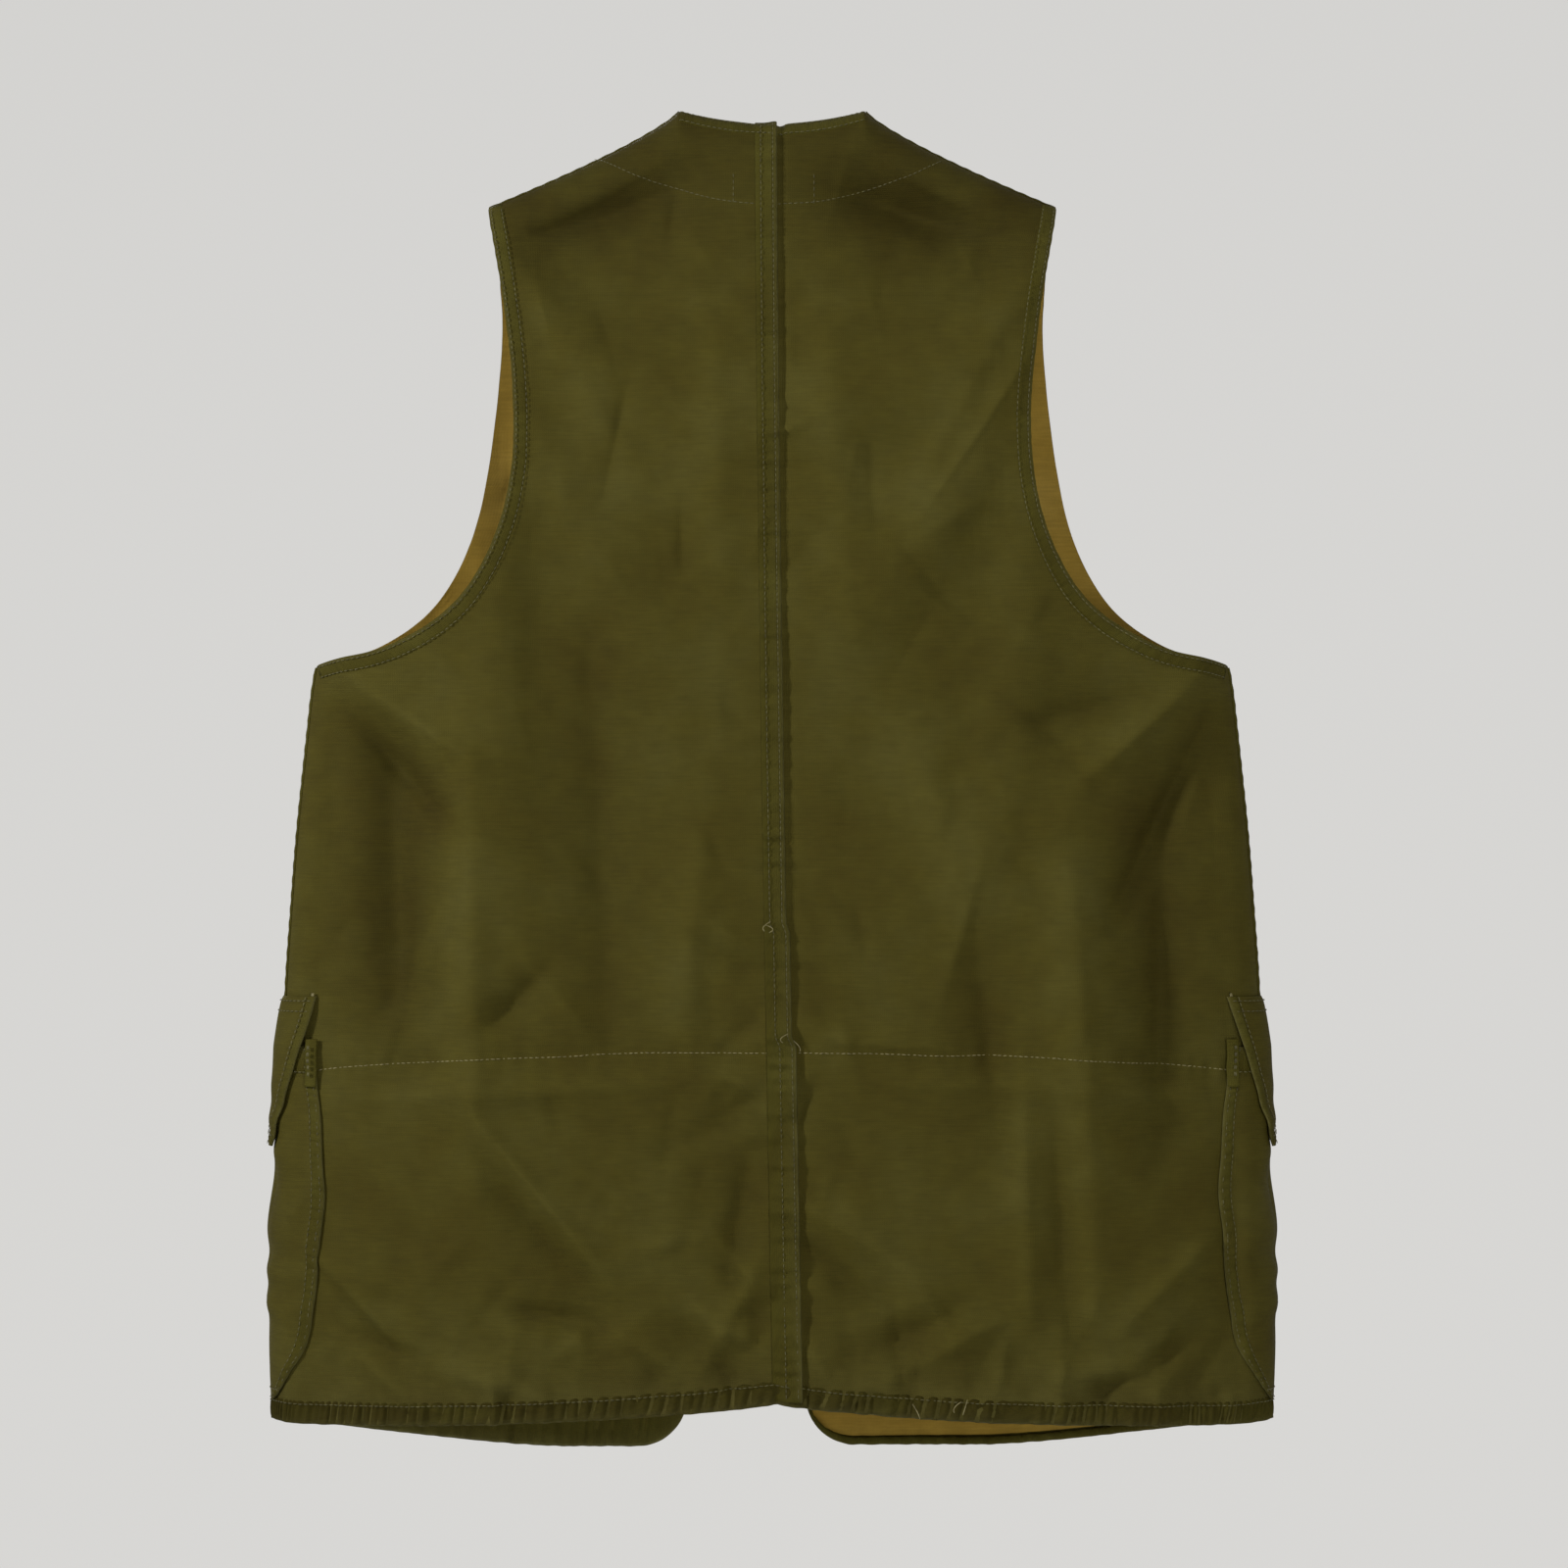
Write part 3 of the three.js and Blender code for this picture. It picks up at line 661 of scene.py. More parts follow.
def hang_all():
    regions = {
        "back": lambda u, v: (*back_half_whole(u, towards_hem(v)), BACK),
        "left": lambda u, v: (*front_half("left", u, towards_hem(v)), FRONT),
        "right": lambda u, v: (*front_half("right", u, towards_hem(v)), FRONT),
    }
    hung = {key: hang_sheet(f"hang_{key}", region) for key, region in regions.items()}
    for frame_number in range(1, HANG_FRAMES + 1):
        scene.frame_set(frame_number)
    graph = bpy.context.evaluated_depsgraph_get()
    moves = {}
    for key, (piece, start) in hung.items():
        settled = np.array([v.co for v in piece.evaluated_get(graph).data.vertices])
        move = settled - start
        size = np.linalg.norm(move, axis=1, keepdims=True)
        moves[key] = (start, move * np.minimum(1, MOST_MOVE / np.maximum(size, 1e-9)))
        print("hung", key, "moved up to", round(float(size.max()) * 1000, 1), "mm")
    for piece, _ in hung.values():
        mesh = piece.data
        bpy.data.objects.remove(piece)
        bpy.data.meshes.remove(mesh)
    scene.frame_set(1)
    return {BACK: field_of([moves["back"]]), FRONT: field_of([moves["left"], moves["right"]])}


fields = hang_all()


def calm(x, z, face):
    """Nothing at the seams of the side and the shoulder, and 1 a few centimetres away."""
    at_side = 1 - clamp01(np.abs(x) / tube_half(z))
    return clamp01(at_side / 0.07) * clamp01((ridge_height(x, face) - z - 0.012) / 0.04)


def field_at(face, x, z):
    place = (np.stack([x, z], axis=1) - FIELD_LOW) / CELL - 0.5
    place = np.clip(place, 0, np.array(FIELD_SHAPE) - 1.001)
    low = place.astype(int)
    part = place - low
    out = np.zeros((len(x), 3))
    for i in (0, 1):
        for j in (0, 1):
            weight = (part[:, 0] if i else 1 - part[:, 0]) * (part[:, 1] if j else 1 - part[:, 1])
            for side in (BACK, FRONT):
                here = fields[side][low[:, 0] + i, low[:, 1] + j]
                out += np.where((face == side)[:, None], here * weight[:, None], 0)
    return out * calm(x, z, face)[:, None]


print("fields", {k: round(float(np.abs(f).max()) * 1000, 1) for k, f in fields.items()}, "mm")

# %% [markdown]
# ## Folds that the wearer left
# A vest that has been worn, washed and hung keeps its creases: a hollow under each shoulder,
# pulls that run down from the underarms, long soft folds beside the pockets, and a fan of
# creases where the middle seam stops. Each is a line with a width and a height, and a seeded
# sprinkle of short ones gives the all-over rumple of washed cotton. A crest is sharper than a
# wave's, because stiff cotton bends along lines.

# %% Folds
CREASED = 1.8


def line_fold(x, z, start, end, width, height):
    a, b = np.array(start), np.array(end)
    along = b - a
    p = np.stack([x, z], axis=1) - a
    t = clamp01(p @ along / (along @ along))
    gap = np.linalg.norm(p - t[:, None] * along, axis=1)
    crest = np.exp(1.5 * (0.2 - np.sqrt((gap / width) ** 2 + 0.04)))
    return height * crest * clamp01(2 - gap / (1.6 * width)) * np.sin(math.pi * (0.12 + 0.76 * t))


BACK_FOLDS = [
    # hollows under the shoulders, deeper on the wearer's right
    ((0.055, -0.050), (0.150, -0.080), 0.022, -0.0070),
    ((-0.040, -0.052), (-0.125, -0.076), 0.024, -0.0110),
    ((0.150, -0.100), (0.080, -0.230), 0.026, 0.0040),
    ((-0.150, -0.115), (-0.080, -0.250), 0.028, 0.0050),
    ((-0.030, -0.110), (-0.050, -0.330), 0.034, 0.0045),
    ((0.035, -0.130), (0.030, -0.300), 0.030, 0.0040),
    # pulls down from the underarms
    ((0.258, -0.348), (0.180, -0.400), 0.014, 0.0060),
    ((0.262, -0.372), (0.196, -0.440), 0.015, -0.0060),
    ((-0.258, -0.350), (-0.190, -0.410), 0.014, 0.0065),
    ((-0.268, -0.375), (-0.205, -0.500), 0.016, -0.0070),
    ((-0.232, -0.360), (-0.150, -0.380), 0.016, -0.0040),
    # the flanks turn away behind long soft folds
    ((0.186, -0.370), (0.178, -0.660), 0.026, 0.0075),
    ((0.236, -0.390), (0.226, -0.580), 0.030, -0.0100),
    ((-0.178, -0.420), (-0.196, -0.740), 0.026, 0.0065),
    ((-0.240, -0.440), (-0.238, -0.640), 0.026, -0.0080),
    ((0.110, -0.330), (0.098, -0.570), 0.026, -0.0050),
    ((-0.085, -0.380), (-0.130, -0.520), 0.030, 0.0050),
    ((-0.120, -0.470), (-0.140, -0.640), 0.018, -0.0045),
    ((0.040, -0.430), (0.055, -0.560), 0.024, 0.0045),
    # short pulls beside the mends in the middle seam
    ((0.042, -0.495), (0.008, -0.519), 0.009, 0.0030),
    ((0.048, -0.508), (0.012, -0.531), 0.008, -0.0026),
    ((0.034, -0.588), (0.006, -0.604), 0.009, 0.0030),
    ((0.032, -0.618), (0.004, -0.600), 0.008, -0.0026),
    ((-0.016, -0.560), (-0.050, -0.572), 0.009, 0.0028),
    # the fan of creases round its lower end
    ((0.014, -0.640), (0.026, -0.715), 0.012, -0.0042),
    ((0.006, -0.700), (0.045, -0.775), 0.010, 0.0038),
    ((0.060, -0.740), (0.020, -0.782), 0.010, -0.0032),
    ((-0.014, -0.664), (-0.081, -0.707), 0.010, 0.0044),
    ((-0.081, -0.707), (-0.112, -0.755), 0.011, 0.0040),
    ((-0.014, -0.690), (-0.066, -0.735), 0.011, -0.0042),
    ((-0.020, -0.752), (-0.038, -0.782), 0.008, 0.0036),
    ((-0.076, -0.772), (-0.142, -0.736), 0.010, 0.0038),
    ((-0.060, -0.760), (-0.120, -0.730), 0.009, -0.0030),
    ((-0.151, -0.595), (-0.156, -0.740), 0.014, 0.0040),
    ((-0.172, -0.600), (-0.180, -0.760), 0.014, -0.0040),
    # the slack of the game pocket
    ((-0.041, -0.571), (-0.108, -0.573), 0.007, 0.0026),
    ((0.265, -0.606), (0.060, -0.596), 0.009, 0.0026),
    ((-0.265, -0.604), (-0.060, -0.594), 0.009, 0.0026),
    ((0.134, -0.524), (0.178, -0.566), 0.012, -0.0042),
    ((0.150, -0.520), (0.110, -0.568), 0.012, 0.0034),
    ((0.182, -0.612), (0.094, -0.720), 0.009, 0.0046),
    ((0.190, -0.628), (0.106, -0.732), 0.010, -0.0036),
    ((0.162, -0.733), (0.098, -0.743), 0.010, -0.0044),
    ((0.100, -0.742), (0.060, -0.768), 0.010, 0.0038),
    ((0.280, -0.700), (0.230, -0.754), 0.009, 0.0042),
    ((0.272, -0.712), (0.222, -0.770), 0.010, -0.0034),
    ((0.252, -0.760), (0.212, -0.795), 0.009, 0.0034),
    ((0.205, -0.768), (0.140, -0.784), 0.010, 0.0034),
    ((-0.268, -0.690), (-0.215, -0.742), 0.010, 0.0042),
    ((-0.258, -0.752), (-0.190, -0.790), 0.010, -0.0038),
    ((-0.235, -0.770), (-0.170, -0.772), 0.009, 0.0034),
]
FRONT_FOLDS = [
    ((0.260, -0.350), (0.150, -0.500), 0.018, 0.0045),
    ((-0.260, -0.350), (-0.150, -0.490), 0.018, 0.0045),
    ((0.150, -0.090), (0.100, -0.280), 0.022, -0.0045),
    ((-0.150, -0.090), (-0.100, -0.270), 0.022, -0.0045),
    ((0.050, -0.150), (0.070, -0.600), 0.020, 0.0030),
    ((-0.045, -0.200), (-0.060, -0.650), 0.022, -0.0030),
    ((0.080, -0.640), (0.060, -0.800), 0.018, 0.0035),
    ((-0.080, -0.620), (-0.070, -0.800), 0.016, 0.0035),
]
GAME_TOP = -0.578


def scattered_folds(count, seed, reach=(0.015, 0.060), high=0.0013, xs=(-0.29, 0.29),
                    zs=(-0.80, -0.04)):
    rng = np.random.default_rng(seed)
    folds = []
    for _ in range(count):
        x, z = rng.uniform(*xs), rng.uniform(*zs)
        lean = rng.normal(math.pi / 2, 0.8)
        long = rng.uniform(*reach)
        end = (x + long * math.cos(lean), z - long * math.sin(lean))
        height = rng.choice([-1, 1]) * rng.uniform(0.3, 1.0) * high
        folds.append(((x, z), end, rng.uniform(0.004, 0.010), height))
    return folds


RUMPLE = {
    BACK: scattered_folds(150, 5)
    + scattered_folds(60, 8, high=0.0022, zs=(-0.79, -0.72))
    + scattered_folds(26, 9, high=0.0022, xs=(-0.06, 0.05), zs=(-0.76, -0.50))
    + scattered_folds(16, 10, reach=(0.05, 0.13), high=0.0026),
    FRONT: scattered_folds(140, 6) + scattered_folds(14, 12, reach=(0.05, 0.13), high=0.0026),
}


def fold_height(x, z, face):
    height = np.zeros(len(x))
    for side, folds in ((BACK, BACK_FOLDS), (FRONT, FRONT_FOLDS)):
        here = np.where(face == side)[0]
        if len(here) == 0:
            continue
        for fold in folds + RUMPLE[side]:
            height[here] += CREASED * line_fold(x[here], z[here], *fold)
    at_side = 1 - clamp01(np.abs(x) / tube_half(z))
    calm_seam = clamp01(at_side / 0.05)
    calm_neck = clamp01((ridge_height(x, face) - z) / 0.03)
    height *= calm_seam * calm_neck
    seam = np.abs(x - seam_x(z))
    pucker = np.sin(z * 620 + 2.0 * np.sin(z * 97)) * 0.5 + np.sin(z * 410 + 1.3) * 0.5
    height += np.where(face > 0, 0.0010 * pucker * np.exp(-(seam / 0.013) ** 2), 0)
    beside = (x - seam_edge(z) + 0.0022) / 0.0026
    height -= np.where(face > 0, 0.0016 * np.exp(-beside ** 2), 0)
    to_hem = np.abs(z - np.where(face > 0, back_hem(x), HEM_FRONT))
    gather = np.sin(x * 640 + 2.5 * np.sin(x * 53)) * 0.6 + np.sin(x * 390 + 2 * np.sin(x * 31)) * 0.6
    height += 0.0012 * gather * np.exp(-to_hem / 0.014) * calm_seam
    arm_x, arm_z = np.array(BACK_ARMHOLE[::-1]).T
    to_arm = np.abs(x) - np.interp(z, arm_z, arm_x)
    drawn = np.sin(z * 610 + 2 * np.sin(z * 60)) * np.where((z < -0.07) & (z > -0.33), 1, 0)
    height += 0.0005 * drawn * np.exp(-np.abs(to_arm) / 0.010)
    row = np.abs(z - game_row(x))
    ripple = np.sin(x * 540 + 1.5 * np.sin(x * 71))
    groove = (0.0005 * ripple - 0.0008) * np.exp(-(row / 0.006) ** 2)
    height += np.where((face > 0) & (np.abs(x) < 0.285), groove * clamp01(at_side / 0.03), 0)
    return height


def game_row(x):
    """The stitch row along the top of the game pocket dips towards the sides."""
    return GAME_TOP - 0.012 * (np.abs(x) / 0.28) ** 3


def cloth_at(x, z, face, out=0.0):
    """A place on the hung and folded cloth, and the direction out of it."""
    face = np.full_like(x, face)
    points, normals = tube(x, z, face)
    lift = fold_height(x, z, face) + out
    return points + field_at(face, x, z) + normals * np.reshape(lift, (-1, 1)), normals


def painted_light_and_shade(x, z, face):
    """Painted shade in the fold hollows and on the shoulders, painted light on what stands proud, and darker
    towards the hem.
    """
    face = np.full_like(x, face)
    shoulders = 0.18 * np.exp(-((ridge_height(x, face) - z) / 0.075) ** 2)
    low_hem = 0.10 * np.exp(-(z - HEM_SIDE) / 0.030)
    return np.clip(fold_height(x, z, face) * 14, -0.15, 0.07) - shoulders - low_hem


def wrap(way, z, side):
    """x and face from the way round the side: below 0 in front, 0 at the seam, above 0 behind."""
    x = SIDES[side] * tube_half(z) * towards_side(1 - np.abs(way))
    return x, np.where(way > 0, BACK, FRONT)


print("folds on the back", len(BACK_FOLDS) + len(RUMPLE[BACK]))

# %% [markdown]
# ## One way to make every sheet, band and row of stitches
# A sheet gets its thickness from a Solidify modifier and is declared with the flat size it was
# cut to, which is measured on its own bent grid. A band is cloth folded over an edge: a closed
# flat loop swept along it, drawn up by its stitching into little puckers.

# %% Sheets and bands
CLOTH_THICK, LINING_THICK = 0.0009, 0.0007
BLENDS = {}
for side, sign in SIDES.items():
    half_way = Vector((sign * float(fold_x(HEM_FRONT / 2)), -0.04, HEM_FRONT / 2))
    inward = Vector((HEM_FRONT * sign, 0, -(FOLD_HEM - FOLD_NECK))).normalized()
    BLENDS[f"front_{side}"] = (half_way, half_way + 0.045 * inward)


def settle(piece, body, material, nodes=()):
    """Gives a finished piece its finish, its body and the CAD nodes that it stands for."""
    piece.data.materials.clear()
    piece.data.materials.append(material)
    if body in BLENDS:
        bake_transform(piece)
    else:
        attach(piece, body)
    if nodes:
        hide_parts(*nodes)
    return piece


def cloth_sheet(name, across, down, place, material, body="root", slot="canvas", nodes=(),
                rests_on=(), thick=CLOTH_THICK, wear=None, crease=None, held="hung"):
    piece = bent_grid(name, across, down, place, wear=wear, crease=crease)
    uv = np.array([tuple(d.uv) for d in piece.data.uv_layers["cloth"].data])
    solid = piece.modifiers.new("thickness", "SOLIDIFY")
    solid.thickness = thick
    solid.offset = -1
    settle(piece, body, material, nodes)
    return piece


BAND_KNOTS = 60      # how many times the puckers change along a band


def worn_edge(k, s):
    """Wear on a band: all of it at the fold of the edge, none inside."""
    return np.exp(-np.minimum(k, 1 - k) / 0.07)


def band(name, steps, edge, inner, material, body="root", nodes=(), thick=0.0024,
         pucker=0.0004, pitch=0.0075, shade_and_tone=0.0, seed=1):
    """A folded band along an edge. edge and inner give x, z, face and out along 0 to 1."""
    rng = np.random.default_rng(seed)
    knots = rng.normal(0, 1, BAND_KNOTS)
    x, z, face, out = edge(np.linspace(0, 1, 50))
    run = np.linalg.norm(np.diff(cloth_at(x, z, face, out)[0], axis=0), axis=1).sum()
    step = run / steps

    def place(k, s):
        turn = 2 * math.pi * k
        across = 0.5 - 0.54 * np.cos(turn)
        a, b = edge(s), inner(s)
        x, z, out = mix(a[0], b[0], across), mix(a[1], b[1], across), mix(a[3], b[3], across)
        swell = np.sign(np.sin(turn)) * np.abs(np.sin(turn)) ** 0.6
        length = s * steps * step
        at_knot = s * (BAND_KNOTS - 1)
        shift = 1.4 * np.interp(at_knot, range(BAND_KNOTS), knots)
        drawn = np.sin(2 * math.pi * (length / pitch + 0.35 * across) + shift)
        lump = 1 + 0.35 * np.interp(at_knot, range(BAND_KNOTS), np.roll(knots, 7))
        height = out + swell * (thick / 2 + pucker * drawn * lump)
        return cloth_at(x, z, a[2], height - CLOTH_THICK / 2)

    # A band's crease attribute is one even value; below 0 the band is darker.
    piece = bent_grid(name, 12, steps, place, close=True, wear=worn_edge,
                      crease=lambda k, s: np.full_like(k, shade_and_tone))
    return settle(piece, body, material, nodes)


# %% [markdown]
# ## Thread
# A lockstitch row shows as short straight dashes with a little dip between them. One dash is
# modelled once, and copies of it are set along each row, turned to the row and to the cloth.

# %% Stitches
STITCH_LENGTH, STITCH_GAP = 0.0026, 0.0008
STITCH_WIDE, STITCH_HIGH = 0.00055, 0.0004
STITCH_SEED = 3


def stitch_shape():
    bm = bmesh.new()
    bmesh.ops.create_cube(bm, size=1)
    lengthways = [e for e in bm.edges if abs(e.verts[0].co.x - e.verts[1].co.x) > 0.5]
    bmesh.ops.subdivide_edges(bm, edges=lengthways, cuts=1)
    for vert in bm.verts:
        if abs(vert.co.x) > 0.4:
            vert.co.y *= 0.55
            vert.co.z = vert.co.z * 0.5 - 0.35
    bmesh.ops.scale(bm, verts=bm.verts, vec=(STITCH_LENGTH, STITCH_WIDE, STITCH_HIGH))
    bm.verts.index_update()
    points = np.array([v.co for v in bm.verts])
    faces = [[v.index for v in f.verts] for f in bm.faces]
    bm.free()
    return points, faces


STITCH_POINTS, STITCH_FACES = stitch_shape()


def stitch_rows(name, rows, material, body="root"):
    """rows: functions of 0 to 1 that give x, z, face and out. Each becomes a row of stitches."""
    rng = np.random.default_rng(STITCH_SEED)
    points, faces = [], []
    for row in rows:
        s = np.linspace(0, 1, 500)
        x, z, face, out = row(s)
        p, n = cloth_at(x, z, face, out + 0.0001)
        length = np.concatenate([[0], np.cumsum(np.linalg.norm(np.diff(p, axis=0), axis=1))])
        count = max(2, int(length[-1] / (STITCH_LENGTH + STITCH_GAP)))
        at = (np.arange(count) + 0.5) * length[-1] / count

        def along(values, where):
            return np.stack([np.interp(where, length, values[:, k]) for k in range(3)], axis=1)

        centre, up = along(p, at), along(n, at)
        ahead = along(p, at + 0.001) - along(p, at - 0.001)
        ahead /= np.linalg.norm(ahead, axis=1, keepdims=True)
        sideways = np.cross(up, ahead)
        sideways /= np.linalg.norm(sideways, axis=1, keepdims=True)
        up = np.cross(ahead, sideways)
        sway = rng.normal(0, 0.07, (count, 1))
        ahead, sideways = ahead + sideways * sway, sideways - ahead * sway
        for c, a, b, d in zip(centre, ahead, sideways, up):
            first = len(points) * len(STITCH_POINTS)
            points.append(c + STITCH_POINTS @ np.array([a, b, d]))
            faces += [[first + i for i in f] for f in STITCH_FACES]
    mesh = bpy.data.meshes.new(name)
    mesh.from_pydata(np.vstack(points).tolist(), [], faces)
    for poly in mesh.polygons:
        poly.use_smooth = True
    print(name, len(points), "stitches")
    return settle(new_object(name, mesh), body, material)


# %% [markdown]
# ## The back
# Two halves meet at the middle. The cloth is a bent grid with rows close enough together to
# carry the folds, and its edges are paler where washing has rubbed the dye away.

# %% Back panels
BACK_GRID = (140, 290)


def back_place(side):
    def place(u, v):
        x, z = back_half(side, u, towards_hem(v))
        return cloth_at(x, z, BACK)
    return place


# The back's colour carries painted shade in the fold hollows and on the shoulders, and painted light on
# ridges.
def back_painted_light_and_shade(side):
    def shade_and_tone(u, v):
        x, z = back_half(side, u, towards_hem(v))
        return painted_light_and_shade(x, z, BACK)
    return shade_and_tone


def edge_wear(u, v):
    return np.maximum(np.exp(-(1 - u) / 0.02), np.exp(-(1 - v) / 0.015)) * 0.5


for side in SIDES:
    cloth_sheet(f"cloth_back_{side}", *BACK_GRID, back_place(side), olive_duck,
                nodes=[f"back_panel_{side}"], rests_on=[f"shoulder_seam_{side}"], wear=edge_wear,
                crease=back_painted_light_and_shade(side))

# %% [markdown]
# ## The middle seam
# The two halves are joined by a felled seam: both edges folded into each other and stitched down
# twice. It stands about 2 mm proud, and one fold edge has lifted and thrown a thin shadow.

# %% Middle seam
SEAM_WIDE = 0.0135


def middle_seam():
    def place(k, s):
        turn = 2 * math.pi * k
        across = 0.5 - 0.5 * np.cos(turn)
        z = mix(-NECK_DIP + 0.0006, HEM_BACK_MIDDLE + 0.001, s)
        x = mix(seam_edge(z), seam_x(z) + SEAM_WIDE - SEAM_EDGE_OUT, across)
        gape = 0.0016 + 0.0006 * np.sin(z * 31) + 0.0014 * clamp01((-z - 0.56) / 0.03)
        lifted = 0.0003 + gape * (1 - across) ** 3
        swell = np.sign(np.sin(turn)) * np.abs(np.sin(turn)) ** 0.5 * mix(0.0008, 0.0003, across)
        ladder = 0.0004 * np.sin(z * 690 + 2 * np.sin(z * 83)) * np.sin(math.pi * across)
        return cloth_at(x, z, BACK, lifted + swell + ladder)
    piece = bent_grid("middle_seam", 14, 560, place, close=True, wear=worn_edge)
    settle(piece, "root", olive_seam, ["centre_back_seam"])


middle_seam()


def seam_row(offset, out):
    """A row of stitches down the middle seam, so far from its free edge."""
    def row(s):
        z = mix(-NECK_DIP - 0.002, HEM_BACK_MIDDLE + 0.003, s)
        return seam_edge(z) + offset, z, BACK, out
    return row


# %% [markdown]
# ## Edges of the back
# The neck, the armholes and the hem are turned in and stitched, and years of washing have drawn
# them up into a rope of small slanting puckers, strongest along the hem.

# %% Bands along the edges
def neck_line(inset):
    def path(s):
        x = mix(-1, 1, s) * (NECK_HALF - 0.0005)
        z = back_neck_height(x) - inset
        return x, z, BACK, 0.0
    return path


def armhole_line(side, face, inset, start=0.0, end=1.0):
    def path(s):
        v = mix(start, end, s) * ARMHOLE_SHARE
        x, z = outer_edge(v, face)
        ahead_x, ahead_z = outer_edge(v + 0.002, face)
        dx, dz = ahead_x - x, ahead_z - z
        size = np.maximum(np.hypot(dx, dz), 1e-9)
        x, z = x + inset * dz / size, z - inset * dx / size
        return SIDES[side] * np.minimum(x, tube_half(z) * 0.9995), z, face, 0.0
    return path


def back_hem_line(inset):
    def path(s):
        along = mix(-1.0, 1.0, s)
        x = tube_half(HEM_SIDE) * 0.998 * np.sign(along) * towards_side(np.abs(along))
        return x, back_hem(x) + inset, BACK, 0.0
    return path


band("band_neck", 76, neck_line(0.0002), neck_line(0.0085), olive_seam, thick=0.0020, pucker=0.00018)
for side in SIDES:
    band(f"band_back_armhole_{side}", 240, armhole_line(side, BACK, 0.0003), armhole_line(side, BACK, 0.0092),
         olive_seam, thick=0.0020, pucker=0.00022, seed=11, nodes=[f"back_armhole_facing_{side}"])
# The hem band's colour is set darker than the other bands.
band("band_back_hem", 800, back_hem_line(0.0002), back_hem_line(0.0135), olive_seam,
     thick=0.0026, pucker=0.0009, pitch=0.0062, shade_and_tone=-0.18, seed=21, nodes=["back_hem_facing"])


# %% [markdown]
# ## Inside the back
# The neck facing is a crescent of tan drill, with a blank woven label sewn on it. The inner wall
# of the game pocket hangs off the back as a loose tan sheet, open at both ends.

# %% Neck facing, label and game pocket
def neck_facing():
    half, lowest, rise = 0.098, -0.060, 0.022

    def place(u, v):
        x = mix(-half, half, u)
        top = back_neck_height(x) + shoulder_height(x) - 0.003
        z = mix(top, lowest + rise * (x / half) ** 2, v)
        return cloth_at(x, z, BACK, -0.0026)
    cloth_sheet("neck_facing_cloth", 90, 26, place, tan_drill, slot="lining", nodes=["back_neck_facing"],
                rests_on=["cloth_back_left", "cloth_back_right"], thick=LINING_THICK)


def neck_label_cloth():
    def place(u, v):
        x, z = mix(-0.025, 0.025, u), mix(-0.034, -0.058, v)
        puff = 0.0006 * np.sin(math.pi * u) * np.sin(math.pi * v)
        return cloth_at(x, z, BACK, -0.0042 - puff)
    cloth_sheet("neck_label_cloth", 26, 14, place, label_satin, slot="label", nodes=["neck_label"],
                rests_on=["neck_facing_cloth"], thick=0.0005, held="laid")


def game_wall():
    top, bottom, half, depth, rim = -0.580, -0.776, 0.240, 0.026, 0.004

    def place(u, v):
        x, z = mix(-half, half, u), mix(top, bottom, v)
        bulge = np.minimum(1, 1.9 * np.abs(np.sin(math.pi * v)) ** 0.7)
        sag = 0.0015 * np.sin(x * 60 + 1) * np.sin(math.pi * v)
        return cloth_at(x, z, BACK, -rim - (depth - rim) * bulge + sag)
    cloth_sheet("game_pocket_cloth", 110, 60, place, tan_drill, slot="lining", nodes=["game_pocket_panel"],
                rests_on=["cloth_back_left", "cloth_back_right"], thick=LINING_THICK)


neck_facing()
neck_label_cloth()
game_wall()

# %% [markdown]
# ## The fronts
# Each front is one panel of duck with a tan lining behind it. It is open down the middle.

# %% Front panels and linings
FRONT_GRID = (96, 210)
FACING_END = {"left": 0.992, "right": 0.90}      # how far down the facing goes, of the whole front
HEM_DEEP = {"left": 0.032, "right": 0.0052}


def front_place(side, out, u_to=1.0, v_from=0.0, v_to=1.0):
    """A layer of a front: how far out it lies, and how much of the front it covers."""
    def place(u, v):
        x, z = front_half(side, u_to * u, towards_hem(mix(v_from, v_to, v)))
        return cloth_at(x, z, FRONT, out)
    return place


# A front's colour carries painted shade in the fold hollows and on the shoulders, and painted light on
# ridges.
def front_painted_light_and_shade(side):
    def shade_and_tone(u, v):
        x, z = front_half(side, u, towards_hem(v))
        return painted_light_and_shade(x, z, FRONT)
    return shade_and_tone


def free_edge_line(side, inset):
    def path(s):
        x, z = front_half(side, np.zeros_like(s), s)
        ahead_x, ahead_z = front_half(side, np.full_like(s, 0.05), s)
        size = np.hypot(ahead_x - x, ahead_z - z)
        x, z = x + inset * (ahead_x - x) / size, z + inset * (ahead_z - z) / size
        return x, z, FRONT, 0.0
    return path


def front_hem_line(side, inset, out=0.0):
    def path(s):
        x, z = front_half(side, s, np.ones_like(s))
        above_x, above_z = front_half(side, s, np.full_like(s, 0.97))
        size = np.hypot(above_x - x, above_z - z)
        x, z = x + inset * (above_x - x) / size, z + inset * (above_z - z) / size
        x = np.sign(x) * np.minimum(np.abs(x), tube_half(z) * 0.998)
        return x, z, FRONT, out
    return path


